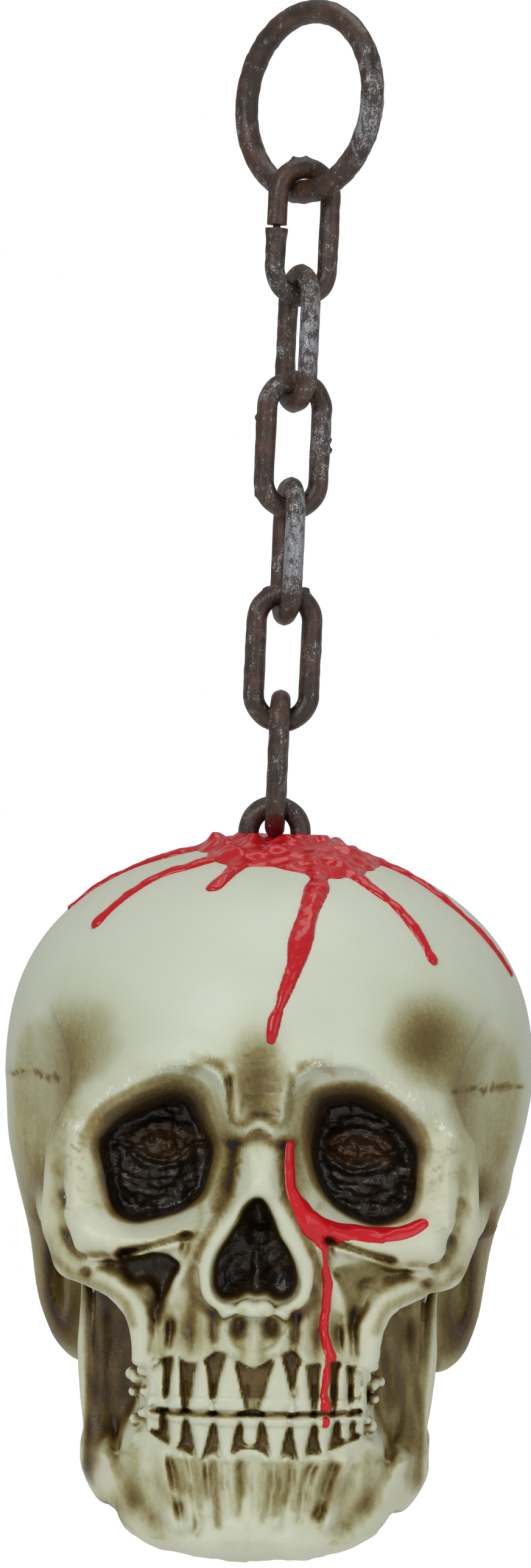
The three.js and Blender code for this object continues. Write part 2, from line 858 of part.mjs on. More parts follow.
// The outline of the glue poured over the crown, of the skull's half width and the brow's reach.
const crownPatchShares = [
  [-0.3, 0.02], [-0.26, -0.2], [-0.17, -0.42], [0.02, -0.47], [0.2, -0.5], [0.33, -0.4],
  [0.4, -0.1], [0.3, 0.16], [0.1, 0.25], [-0.14, 0.2],
];

function crownPatch() {
  const corners = crownPatchShares.map(([x, y]) => new THREE.Vector2(x * skullHalfWidth, y * browReach));
  const outline = new THREE.Shape([corners[0]]);
  outline.splineThru([...corners.slice(1), corners[0]]);
  const depth = ramusDepth;
  const prism = new THREE.ExtrudeGeometry(outline, { depth, bevelEnabled: false, curveSegments: 2 });
  prism.translate(0, 0, -ramusDepth + boreOverrun);
  const above = solidOf(swell(vault(28), play + crownGlueThickness));
  return above.intersect(solidOf(prism));
}

// Runs from the crown, each a line of places near the vault, of its half width, reach and height.
const crownRunShares = [
  [[-0.21, -0.06, -0.01], [-0.39, -0.06, -0.03], [-0.52, 0.02, -0.06], [-0.65, 0.02, -0.1],
    [-0.74, 0, -0.14]],
  [[-0.16, -0.3, -0.03], [-0.3, -0.36, -0.05], [-0.4, -0.36, -0.07], [-0.5, -0.4, -0.11],
    [-0.62, -0.44, -0.16]],
  [[-0.12, -0.4, -0.04], [-0.16, -0.5, -0.06], [-0.2, -0.57, -0.09]],
  [[0.15, -0.4, -0.04], [0.17, -0.6, -0.09], [0.13, -0.75, -0.14], [0.12, -0.83, -0.19],
    [0.1, -0.88, -0.23], [0.07, -0.93, -0.28], [0.04, -0.95, -0.32], [0.03, -0.97, -0.36]],
  [[0.24, -0.36, -0.04], [0.38, -0.46, -0.08], [0.45, -0.5, -0.11], [0.52, -0.55, -0.15],
    [0.6, -0.6, -0.2]],
  [[0.28, -0.06, -0.02], [0.43, -0.08, -0.04], [0.53, -0.11, -0.07], [0.62, -0.15, -0.11],
    [0.73, -0.15, -0.15], [0.82, -0.13, -0.19], [0.88, -0.08, -0.24]],
];
const runSizeShares = [1, 1, 0.85, 0.7, 0.8];
const moundShares = [1.6, 1.8, 0.9];

function crownBlood() {
  const runs = crownRunShares.map((places) => {
    const line = new THREE.CatmullRomCurve3(places.map(headPlace));
    const hits = line.getPoints(places.length + 1).map((place) => {
      const way = vaultCentre.clone().sub(place).normalize();
      return meeting(vaultSurface, place.clone().addScaledVector(way, -vaultHeight / 4), way);
    });
    return bead(hits, dripHalfWidth, dripHalfThickness, runSizeShares);
  });
  const bend = (stapleWidth - wireDiameter) / 2;
  const mound = moundShares.map((share) => share * wireDiameter);
  const mounds = [bend, -bend].map((x) => (
    solidOf(lump(new THREE.Vector3(x, -stapleForward, -dropAtStaple), mound, 10))
  ));
  const blood = joined([crownPatch(), ...runs, ...mounds]);
  const skullClear = solidOf(swell(vault(28), play));
  return largestPiece(blood.subtract(skullClear).subtract(solidOf(stapleGeometry(play))));
}

// The run from under the eye over the upper teeth, and its branch along the orbit's rim, as
// shares of the distance between the orbits sideways and of the vault's height down.
const tearShares = [
  [0.283, -0.722], [0.288, -0.75], [0.328, -0.81], [0.374, -0.883], [0.383, -0.93], [0.372, -0.973],
  [0.36, -1.03],
];
const tearBranchShares = [[0.283, -0.725], [0.4, -0.735], [0.5, -0.738], [0.6, -0.737], [0.7, -0.735]];
const tearSizeShares = [1.1, 1, 0.9, 1.2, 0.9];
const dropPlaceShares = [[0.35, -1.075], [0.35, -1.09]];
const dropHeightShare = 1.2;

function faceHits(mesh, shares, steps) {
  const line = new THREE.CatmullRomCurve3(shares.map(([x, z]) => (
    new THREE.Vector3(x * socketSpacing, -browReach * 2, z * vaultHeight)
  )));
  return line.getPoints(steps).map((place) => meeting(mesh, place, new THREE.Vector3(0, 1, 0)));
}

function tearBlood(mesh, clear) {
  const run = bead(faceHits(mesh, tearShares, 11), tearHalfWidth, tearHalfThickness, tearSizeShares);
  const branchHits = faceHits(mesh, tearBranchShares, 6);
  const branch = bead(branchHits, tearHalfWidth, tearHalfThickness, tearSizeShares);
  return largestPiece(run.add(branch).subtract(clear));
}

function dropBlood(mesh, clear) {
  const [{ point }] = faceHits(mesh, dropPlaceShares, 1);
  const sizes = [dropDiameter, dropDiameter, dropHeightShare * dropDiameter];
  return largestPiece(solidOf(lump(point, sizes, 10)).subtract(clear));
}

// Assembly

const chainLook = { color: 0x4b3e34, roughness: 0.45, metalness: 0.1 };
const boneLook = { color: 0xd2cdb4, roughness: 0.55, metalness: 0 };
const bloodLook = { color: 0xc01020, roughness: 0.12, metalness: 0 };
const clearGlueLook = { color: 0xe6dcc0, roughness: 0.3, metalness: 0 };

function skullGroup() {
  const outerFace = new THREE.Mesh(geometryOf(skullOuter));
  const clear = skullForm(play);
  const pieces = [
    named('skull_shell', geometryOf(skullShell), boneLook),
    named('crown_staple', stapleGeometry(0), chainLook),
    named('glue_plug', geometryOf(gluePlug()), clearGlueLook),
    named('blood_crown', geometryOf(crownBlood()), bloodLook),
    named('blood_tear', geometryOf(tearBlood(outerFace, clear)), bloodLook),
    named('blood_drop', geometryOf(dropBlood(outerFace, clear)), bloodLook),
  ];
  const crown = new THREE.Group();
  crown.position.set(0, stapleForward, vaultTop - skullPivot);
  crown.add(...pieces);
  const hung = new THREE.Group();
  hung.position.z = skullPivot;
  hung.rotation.y = -THREE.MathUtils.degToRad(skullLean);
  hung.add(crown);
  return hung;
}

const decoration = new THREE.Group();
decoration.add(hangingRing());
linkTurns.forEach((_, index) => decoration.add(chainLink(index)));
decoration.add(skullGroup());

export default decoration;
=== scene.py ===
"""A life-size plastic skull that hangs from a short chain and a large ring.

The skull is sculpted as a distance field, one bone at a time, in millimetres from the top of its
crown: x to the viewer's right, y to the back and z up. The field is then skinned and carried into
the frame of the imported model. The chain and its staple are modelled link by link, and the glossy
red glue follows the sculpted surface. Every finish is procedural.
"""

from __future__ import annotations

import logging
import math
from dataclasses import dataclass, field, replace
from enum import Enum
from typing import Iterable, Sequence

import bpy
import numpy as np
from mathutils import Matrix, Vector

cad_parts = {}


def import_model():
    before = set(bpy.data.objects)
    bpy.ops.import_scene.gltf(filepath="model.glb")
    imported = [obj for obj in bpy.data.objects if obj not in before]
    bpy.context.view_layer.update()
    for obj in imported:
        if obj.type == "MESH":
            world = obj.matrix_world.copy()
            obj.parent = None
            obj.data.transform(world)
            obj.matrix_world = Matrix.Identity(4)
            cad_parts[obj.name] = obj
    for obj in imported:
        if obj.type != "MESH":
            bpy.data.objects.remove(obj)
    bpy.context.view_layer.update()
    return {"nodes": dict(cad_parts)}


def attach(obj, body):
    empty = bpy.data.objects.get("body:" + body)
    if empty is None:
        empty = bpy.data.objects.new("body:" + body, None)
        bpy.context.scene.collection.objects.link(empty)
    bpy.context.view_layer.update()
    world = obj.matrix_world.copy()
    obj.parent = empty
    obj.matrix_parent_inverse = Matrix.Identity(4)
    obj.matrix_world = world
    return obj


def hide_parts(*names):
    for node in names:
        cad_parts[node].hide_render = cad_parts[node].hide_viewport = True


LOG = logging.getLogger("skull")
MILLIMETRE = 0.001
MOST_TRIANGLES = 196_000
# The viewer's left and right.
SIDES = (-1, 1)

Place = tuple[float, float, float]
PlaceAndRadius = tuple[float, float, float, float]
Spot = tuple[float, float]
Colour = tuple[float, float, float]
Rgba = tuple[float, float, float, float]
# A tooth's place across, its width at the biting edge, its root's height and its root's width.
Tooth = tuple[float, float, float, float]
Array = np.ndarray


# Distance fields

def soft_min(first: Array, second: Array, blend: float) -> Array:
    """Joins two distances with a rounded seam.

    Args:
        first: Distances to one form, negative inside.
        second: Distances to the other form.
        blend: Width of the rounded seam in millimetres.

    Returns:
        The distances to both forms together.
    """
    if blend <= 0:
        return np.minimum(first, second)
    share = np.clip(0.5 + 0.5 * (second - first) / blend, 0, 1)
    return second + (first - second) * share - blend * share * (1 - share)


def soft_max(first: Array, second: Array, blend: float) -> Array:
    """Keeps what lies in both forms, with a rounded edge."""
    return -soft_min(-first, -second, blend)


def smooth_step(low: float, high: float, value: Array) -> Array:
    """Rises from 0 at low to 1 at high with level ends."""
    share = np.clip((value - low) / (high - low), 0, 1)
    return share * share * (3 - 2 * share)


def smooth_line(points: Sequence[Sequence[float]], closed: bool = False, steps: int = 6) -> Array:
    """Runs a Catmull-Rom curve through given points.

    Args:
        points: The points, in any number of dimensions.
        closed: Whether the curve returns to its start.
        steps: Pieces between two points.

    Returns:
        The points along the curve, without the repeated start of a closed one.
    """
    base = np.array(points, float)
    count = len(base)
    if count < 3 and not closed:
        return base
    spans = count if closed else count - 1
    out = []
    for i in range(spans):
        if closed:
            a, b, c, d = (base[(i + k) % count] for k in (-1, 0, 1, 2))
        else:
            b, c = base[i], base[i + 1]
            a = base[i - 1] if i else 2 * b - c
            d = base[i + 2] if i + 2 < count else 2 * c - b
        for t in np.arange(steps) / steps:
            out.append(0.5 * (2 * b + (c - a) * t + (2 * a - 5 * b + 4 * c - d) * t * t
                              + (3 * b - a - 3 * c + d) * t ** 3))
    if not closed:
        out.append(base[-1])
    return np.array(out)


def smooth_rows(at: Array, rows: Sequence[Sequence[float]]) -> list[Array]:
    """Reads the columns of a table of rows at any place, with monotone cubic steps between rows.

    Args:
        at: Where to read, in the unit of the first column, which rises.
        rows: The table.

    Returns:
        One array for each column after the first.
    """
    table = np.array(rows, float)
    x = table[:, 0]
    width = np.diff(x)
    cell = np.clip(np.searchsorted(x, at) - 1, 0, len(x) - 2)
    share = np.clip((at - x[cell]) / width[cell], 0, 1)
    columns = []
    for y in table[:, 1:].T:
        slope = np.diff(y) / width
        inner = np.where(slope[:-1] * slope[1:] > 0,
                         2 * slope[:-1] * slope[1:] / (slope[:-1] + slope[1:] + 1e-12), 0)
        tangent = np.concatenate([slope[:1], inner, slope[-1:]])
        t, h = share, width[cell]
        before = y[cell] * (1 + 2 * t) * (1 - t) ** 2 + tangent[cell] * h * t * (1 - t) ** 2
        columns.append(before + y[cell + 1] * t * t * (3 - 2 * t)
                       + tangent[cell + 1] * h * t * t * (t - 1))
    return columns


def line_distance(across: Array, up: Array, line: Array) -> Array:
    """Distance in a plane to an open line of points."""
    best = np.full(np.broadcast(across, up).shape, np.inf)
    for start, end in zip(line[:-1], line[1:]):
        way = end - start
        along = ((across - start[0]) * way[0] + (up - start[1]) * way[1]) / (way @ way + 1e-12)
        along = np.clip(along, 0, 1)
        gap = np.hypot(across - start[0] - along * way[0], up - start[1] - along * way[1])
        best = np.minimum(best, gap)
    return best


def outline_distance(across: Array, up: Array, outline: Array) -> Array:
    """Signed distance in a plane to a closed outline, negative inside it."""
    ring = np.vstack([outline, outline[:1]])
    gap = line_distance(across, up, ring)
    inside = np.zeros(gap.shape, bool)
    for (ax, az), (bx, bz) in zip(ring[:-1], ring[1:]):
        if az == bz:
            continue
        crosses = (az > up) != (bz > up)
        inside ^= crosses & (across < (bx - ax) * (up - az) / (bz - az) + ax)
    return np.where(inside, -gap, gap)


def rim_distance(across: Array, up: Array, rim: Sequence[Spot], steps: int = 6) -> Array:
    """Signed distance in a plane to a closed curve through given points."""
    return outline_distance(across, up, smooth_line(rim, closed=True, steps=steps))


def turned(across: Array, up: Array, degrees: float) -> tuple[Array, Array]:
    """Two coordinates, read along axes that are turned by an angle."""
    c, s = math.cos(math.radians(degrees)), math.sin(math.radians(degrees))
    return c * across + s * up, c * up - s * across


def mirrored(points: Iterable[Sequence[float]]) -> tuple:
    """The same points on the other side of the face."""
    return tuple((-p[0], *p[1:]) for p in points)


class Form:
    """A form that tells how far any place is from its surface."""

    def reach(self) -> tuple[Place, Place]:
        """The lowest and highest corner of the form."""
        raise NotImplementedError

    def distance(self, x: Array, y: Array, z: Array) -> Array:
        """Distance to the surface in millimetres, negative inside."""
        raise NotImplementedError

    def mirror(self) -> "Form":
        """The form on the other side of the face, or itself where it is alike on both."""
        return self


@dataclass(frozen=True)
class Lump(Form):
    """A rounded lump that may be turned about the upright."""

    centre: Place
    half: Place
    plan_turn: float = 0

    def reach(self) -> tuple[Place, Place]:
        """The box of the lump at any turn."""
        most = max(self.half)
        return tuple(c - most for c in self.centre), tuple(c + most for c in self.centre)

    def distance(self, x: Array, y: Array, z: Array) -> Array:
        """Distance to the lump."""
        dx, dy, dz = x - self.centre[0], y - self.centre[1], z - self.centre[2]
        if self.plan_turn:
            dx, dy = turned(dx, dy, self.plan_turn)
        a, b, c = self.half
        near = np.sqrt((dx / a) ** 2 + (dy / b) ** 2 + (dz / c) ** 2)
        steep = np.sqrt((dx / a ** 2) ** 2 + (dy / b ** 2) ** 2 + (dz / c ** 2) ** 2)
        return near * (near - 1) / np.maximum(steep, 1e-6)

    def mirror(self) -> "Lump":
        """The lump on the other side of the face."""
        x, y, z = self.centre
        return Lump((-x, y, z), self.half, -self.plan_turn)


@dataclass(frozen=True)
class Limb(Form):
    """A rounded ridge or groove through places, with a radius at each place.

    Each place is x, y, z and radius. A stretch above 1 flattens the limb along that axis.
    """

    places: tuple[PlaceAndRadius, ...]
    stretch: Place = (1, 1, 1)
    steps: int = 4

    def reach(self) -> tuple[Place, Place]:
        """The box of the limb."""
        line = np.array(self.places)
        most = line[:, 3].max() * 1.5
        return tuple(line[:, :3].min(0) - most), tuple(line[:, :3].max(0) + most)

    def distance(self, x: Array, y: Array, z: Array) -> Array:
        """Distance to the limb."""
        line = smooth_line(self.places, steps=self.steps)
        sx, sy, sz = self.stretch
        scale = np.array([sx, sy, sz])
        best = np.full(np.broadcast(x, y, z).shape, np.inf, np.float32)
        for start, end in zip(line[:-1], line[1:]):
            a, b = start[:3] * scale, end[:3] * scale
            way = b - a
            px, py, pz = x * sx - a[0], y * sy - a[1], z * sz - a[2]
            along = np.clip((px * way[0] + py * way[1] + pz * way[2]) / (way @ way + 1e-9), 0, 1)
            gap = np.sqrt((px - along * way[0]) ** 2 + (py - along * way[1]) ** 2
                          + (pz - along * way[2]) ** 2)
            best = np.minimum(best, gap - (start[3] + (end[3] - start[3]) * along))
        return best / max(self.stretch)

    def mirror(self) -> "Limb":
        """The limb on the other side of the face."""
        return Limb(mirrored(self.places), self.stretch, self.steps)


@dataclass(frozen=True)
class Slab(Form):
    """An outline with a thickness, either seen from the front or from the side.

    Args:
        outline: The outline's points.
        near: The first limit of its thickness.
        far: The other limit.
        rounding: Rounding of its edges.
        slope: Slope of its walls as a share of the depth.
        from_side: Whether the outline is seen from the side.
        smooth: Whether a curve runs through the points instead of straight lines.
    """

    outline: tuple[Spot, ...]
    near: float
    far: float
    rounding: float = 1
    slope: float = 0
    from_side: bool = False
    smooth: bool = True

    def edge(self) -> Array:
        """The outline's points, smoothed where it is a smooth one."""
        if self.smooth:
            return smooth_line(self.outline, closed=True)
        return np.array(self.outline, float)

    def reach(self) -> tuple[Place, Place]:
        """The box of the slab."""
        edge = self.edge()
        grow = self.rounding + abs(self.slope) * abs(self.far - self.near)
        low, high = edge.min(0) - grow, edge.max(0) + grow
        if self.from_side:
            return (self.near - grow, low[0], low[1]), (self.far + grow, high[0], high[1])
        return (low[0], self.near - grow, low[1]), (high[0], self.far + grow, high[1])

    def distance(self, x: Array, y: Array, z: Array) -> Array:
        """Distance to the slab."""
        across, depth = (y, x) if self.from_side else (x, y)
        flat = outline_distance(across, z, self.edge())
        middle, half = (self.near + self.far) / 2, abs(self.far - self.near) / 2
        walls = flat + self.slope * (depth - self.near)
        return soft_max(walls, np.abs(depth - middle) - half, self.rounding * 2)

    def mirror(self) -> "Slab":
        """The slab on the other side of the face."""
        if self.from_side:
            return replace(self, near=-self.far, far=-self.near)
        return replace(self, outline=mirrored(self.outline))


class Relief:
    """A map of shallow detail, pressed into a surface along one way.

    The map's two axes are x and z for a face seen from the front, and y and z for a side.
    """

    def __init__(self, across: Array, up: Array) -> None:
        self.across = across[:, None]
        self.up = up[None, :]
        self.depth = np.zeros((len(across), len(up)), np.float32)

    def stroke(self, points: Iterable[Spot], width: float, depth: float) -> None:
        """Draws a groove, or a ridge where the depth is negative.

        Args:
            points: Places along the stroke.
            width: Half width at which the stroke has mostly faded.
            depth: Depth in millimetres.
        """
        line = smooth_line(list(points))
        (a0, u0), (a1, u1) = line.min(0) - 3 * width, line.max(0) + 3 * width
        ia = slice(*np.searchsorted(self.across[:, 0], (a0, a1)))
        iu = slice(*np.searchsorted(self.up[0], (u0, u1)))
        gap = line_distance(self.across[ia], self.up[:, iu], line)
        self.depth[ia, iu] += depth * np.exp(-(gap / width) ** 2)

    def read(self, across: Array, up: Array) -> Array:
        """The depth at any places of the map."""
        i = np.searchsorted(self.across[:, 0], across).clip(0, self.depth.shape[0] - 1)
        k = np.searchsorted(self.up[0], up).clip(0, self.depth.shape[1] - 1)
        return self.depth[i, k]

    def dent(self, centre: Spot, half: Spot, depth: float, turn: float = 0) -> None:
        """Presses an oval dent, or raises a bump where the depth is negative."""
        da, du = turned(self.across - centre[0], self.up - centre[1], turn)
        oval = np.exp(-((da / half[0]) ** 2 + (du / half[1]) ** 2))
        self.depth += depth * oval.astype(np.float32)

    def noise(self, scale: float, seed: int) -> Array:
        """Soft random bumps all over the map."""
        return wave_noise(self.across, 0, self.up, scale, seed)


def lifted(points: Iterable[Spot], rise: float) -> list[Spot]:
    """The same places, higher by some distance."""
    return [(a, b + rise) for a, b in points]


@dataclass(frozen=True)
class Pen:
    """Draws on a relief from an origin, with places across counted towards one side."""

    detail: Relief
    side: int
    origin: Spot = (0, 0)

    def at(self, points: Iterable[Spot]) -> list[Spot]:
        """The places on the relief."""
        return [(self.origin[0] + self.side * a, self.origin[1] + b) for a, b in points]

    def stroke(self, points: Iterable[Spot], width: float, depth: float) -> None:
        """Draws a groove, or a ridge where the depth is negative."""
        self.detail.stroke(self.at(points), width, depth)

    def dent(self, centre: Spot, half: Spot, depth: float) -> None:
        """Presses an oval dent, or raises a bump where the depth is negative."""
        self.detail.dent(self.at([centre])[0], half, depth)


class Sculpt:
    """A distance field on a grid whose steps may differ from place to place."""

    def __init__(self, xs: Array, ys: Array, zs: Array) -> None:
        self.axes = (xs, ys, zs)
        self.field = np.full((len(xs), len(ys), len(zs)), 1e3, np.float32)

    def window(self, low: Place, high: Place,
               spare: float = 0) -> tuple[tuple[slice, ...], list[Array]]:
        """The part of the grid round a box, and its coordinates ready to broadcast."""
        cut = []
        for axis, a, b in zip(self.axes, low, high):
            first, last = np.searchsorted(axis, (a - spare, b + spare))
            cut.append(slice(max(first - 1, 0), min(last + 1, len(axis))))
        coordinates = [axis[part].astype(np.float32) for axis, part in zip(self.axes, cut)]
        x, y, z = coordinates
        return tuple(cut), [x[:, None, None], y[None, :, None], z[None, None, :]]

    def add(self, form: Form, blend: float = 0) -> None:
        """Joins a form to the sculpt with a rounded seam."""
        part, at = self.window(*form.reach(), blend + 3)
        self.field[part] = soft_min(self.field[part], form.distance(*at), blend)

    def cut(self, form: Form, blend: float = 0) -> None:
        """Cuts a form out of the sculpt with a rounded edge."""
        part, at = self.window(*form.reach(), blend + 3)
        self.field[part] = soft_max(self.field[part], -form.distance(*at), blend)

    def front(self, across: Array, up: Array) -> Array:
        """How far forward the surface stands, seen from the front, at any x and z."""
        columns = np.searchsorted(self.axes[0], across).clip(1, len(self.axes[0]) - 1)
        rows = np.searchsorted(self.axes[2], up).clip(1, len(self.axes[2]) - 1)
        inside = self.field[columns, :, rows] < 0
        return self.axes[1][inside.argmax(1)]

    def sample(self, places: Array) -> Array:
        """Distances at any places, read between the grid's points."""
        cell, share, beyond = [], [], np.zeros(len(places))
        for n, axis in enumerate(self.axes):
            at = np.clip(places[:, n], axis[0], axis[-1])
            beyond += (places[:, n] - at) ** 2
            i = np.clip(np.searchsorted(axis, at) - 1, 0, len(axis) - 2)
            cell.append(i)
            share.append((at - axis[i]) / (axis[i + 1] - axis[i]))
        total = np.zeros(len(places))
        for corner in range(8):
            steps = [(corner >> n) & 1 for n in range(3)]
            weight = np.ones(len(places))
            for n in range(3):
                weight = weight * (share[n] if steps[n] else 1 - share[n])
            corner_values = self.field[tuple(c + s for c, s in zip(cell, steps))]
            total += weight * corner_values
        return total + np.sqrt(beyond)

    def slope(self, places: Array, step: float = 0.35) -> Array:
        """The way out of the surface at any places, with its steepness."""
        out = []
        for n in range(3):
            shift = np.zeros(3)
            shift[n] = step
            out.append((self.sample(places + shift) - self.sample(places - shift)) / (2 * step))
        return np.stack(out, 1)

    def skin(self) -> tuple[Array, Array]:
        """Skins the zero surface with one point in each cell that it crosses.

        Returns:
            The points, and four-sided faces that turn outwards.
        """
        shape = np.array(self.field.shape)
        inside = self.field < 0
        rings, places = [], []
        for n in range(3):
            u, v = (n + 1) % 3, (n + 2) % 3
            first = np.take(inside, np.arange(shape[n] - 1), n)
            second = np.take(inside, np.arange(1, shape[n]), n)
            start = np.argwhere(first != second)
            clear = (start[:, u] > 0) & (start[:, v] > 0)
            clear &= (start[:, u] < shape[u] - 1) & (start[:, v] < shape[v] - 1)
            start = start[clear]
            end = start.copy()
            end[:, n] += 1
            a, b = self.field[tuple(start.T)], self.field[tuple(end.T)]
            place = np.stack([self.axes[k][start[:, k]] for k in range(3)], 1)
            place[:, n] += a / (a - b) * (self.axes[n][end[:, n]] - self.axes[n][start[:, n]])
            corners = []
            for du, dv in ((0, 0), (1, 0), (1, 1), (0, 1)):
                cell = start.copy()
                cell[:, u] -= du
                cell[:, v] -= dv
                corners.append(np.ravel_multi_index(cell.T, shape))
            ring = np.stack(corners, 1)
            ring[a > 0] = ring[a > 0][:, ::-1]
            rings.append(ring)
            places.append(np.repeat(place, 4, 0))
        ring = np.vstack(rings)
        cells, index = np.unique(ring.ravel(), return_inverse=True)
        # The places were repeated in step with each ring's four corners.
        weight = np.bincount(index, minlength=len(cells))
        spots = np.vstack(places)
        sums = [np.bincount(index, spots[:, k], len(cells)) for k in range(3)]
        points = np.stack([total / weight for total in sums], 1)
        return points, index.reshape(-1, 4)

    def settle(self, points: Array, rounds: int = 2, most: float = 0.5) -> Array:
        """Moves points onto the surface, by no more than a small step each round."""
        for _ in range(rounds):
            way = self.slope(points)
            steep = np.maximum((way ** 2).sum(1), 0.2)
            step = np.clip(self.sample(points) / steep, -most, most)
            points = points - way * step[:, None]
        return points


# Noise for colour and relief, the same on every run

def wave_noise(x: Array, y: Array, z: Array, scale: float, seed: int, waves: int = 14) -> Array:
    """A soft random pattern of crossing waves, about -1 to 1, with bumps of about the scale."""
    rng = np.random.default_rng(seed)
    total = np.zeros(np.broadcast(x, y, z).shape, np.float32)
    for _ in range(waves):
        way = rng.normal(size=3)
        way *= 2 * math.pi / (scale * rng.uniform(0.7, 1.6)) / np.linalg.norm(way)
        total += np.cos(way[0] * x + way[1] * y + way[2] * z + rng.uniform(0, 2 * math.pi))
    return total * math.sqrt(2 / waves) * 0.6


def grid_steps(stops: Sequence[tuple[float, float]], end: float) -> Array:
    """Grid lines with a step size from each stop on, up to the end."""
    lines = []
    for (start, step), following in zip(stops, [*[s for s, _ in stops[1:]], end]):
        count = max(1, round((following - start) / step))
        lines.append(start + (following - start) * np.arange(count) / count)
    return np.concatenate([*lines, [end]])


def as_distance(raw: Array, x: Array, y: Array, z: Array, floor: float) -> Array:
    """Turns any smooth field that is zero on a surface into about the distance to it.

    Args:
        raw: The field, negative inside.
        x: Coordinates across, shaped to broadcast.
        y: Coordinates in depth.
        z: Coordinates upwards.
        floor: The least steepness to divide by.

    Returns:
        The field divided by its own steepness.
    """
    slopes = np.gradient(raw.astype(np.float32), x[:, 0, 0], y[0, :, 0], z[0, 0, :])
    steep = np.sqrt(sum(s * s for s in slopes))
    return raw / np.maximum(steep, floor)


@dataclass(frozen=True)
class Vault(Form):
    """The brain case: a dome over its widest level, and drawn-in levels below that."""

    half_width: float = 76.95
    height: float = 150
    front: float = -85
    back: float = 91.97
    top_centre: float = 2
    widest: float = 12
    dome: float = 69
    dome_rise: float = 2.55
    dome_round: float = 2.0
    base_rounding: float = 5
    drift: float = 1.1
    lower_shares: tuple[tuple[float, ...], ...] = (
        (0.46, 1, 1, 1),
        (0.56, 0.977, 0.87, 0.985),
        (0.66, 0.935, 0.63, 0.93),
        (0.78, 0.875, 0.42, 0.8),
        (0.89, 0.84, 0.3, 0.63),
        (0.96, 0.77, 0.22, 0.47),
        (1.02, 0.61, 0.14, 0.36),
    )

    def reach(self) -> tuple[Place, Place]:
        """The box of the brain case."""
        return (-self.half_width, self.front, -self.height), (self.half_width, self.back, 0)

    def distance(self, x: Array, y: Array, z: Array) -> Array:
        """Distance to the brain case."""
        x = x + self.drift * smooth_step(-70, -94, z)
        rise = np.clip((z + self.dome) / self.dome, 0, None)
        level = np.clip(1 - np.minimum(rise, 1) ** self.dome_rise, 0, 1) ** (1 / self.dome_round)
        middle = self.top_centre + (self.widest - self.top_centre) * np.where(rise > 0, level, 1)
        width, front, back = smooth_rows(-z[0, 0] / self.height, self.lower_shares)
        ahead = (self.widest - self.front * front)[None, None]
        behind = (self.back * back - self.widest)[None, None]
        reach = np.where(y < middle, ahead, behind)
        ring = np.sqrt((x / (self.half_width * width)) ** 2 + ((y - middle) / reach) ** 2)
        raw = (ring ** self.dome_round + rise ** self.dome_rise) ** (1 / self.dome_round) - 1
        side = as_distance(raw, x[:, :, :1], y, z, 0.6 / self.half_width)
        return soft_max(side, 1.2 - self.height - z, self.base_rounding)


@dataclass(frozen=True)
class Levels(Form):
    """A form through level sections, each with its drop, half width, front, back and middle."""

    rows: tuple[tuple[float, float, float, float, float], ...]
    squareness: float
    rounding: float

    def reach(self) -> tuple[Place, Place]:
        """The box of the form."""
        table = np.array(self.rows)
        most = table[:, 1].max()
        return ((-most, table[:, 2].min(), -table[-1, 0]), (most, table[:, 3].max(), -table[0, 0]))

    def distance(self, x: Array, y: Array, z: Array) -> Array:
        """Distance to the form."""
        columns = [c[None, None] for c in smooth_rows(-z[0, 0], self.rows)]
        width, front, back, middle = columns
        reach = np.where(y < middle, middle - front, back - middle)
        n = self.squareness
        raw = (np.abs(x / width) ** n + np.abs((y - middle) / reach) ** n) ** (1 / n) - 1
        side = as_distance(raw, x, y, z, 0.5 / self.rows[0][1])
        ends = np.maximum(z + self.rows[0][0], -self.rows[-1][0] - z)
        return soft_max(side, ends, self.rounding)


def tooth_outline(place: float, edge: float, root: float, edge_width: float,
                  root_width: float) -> list[Spot]:
    """A tooth seen from the front, from its wide biting edge to its narrow root."""
    half, slim = edge_width / 2, root_width / 2
    shoulder = edge + (root - edge) * 0.35
    return [(place - half, edge), (place + half, edge), (place + half * 0.8, shoulder),
            (place + slim, root), (place - slim, root), (place - half * 0.8, shoulder)]


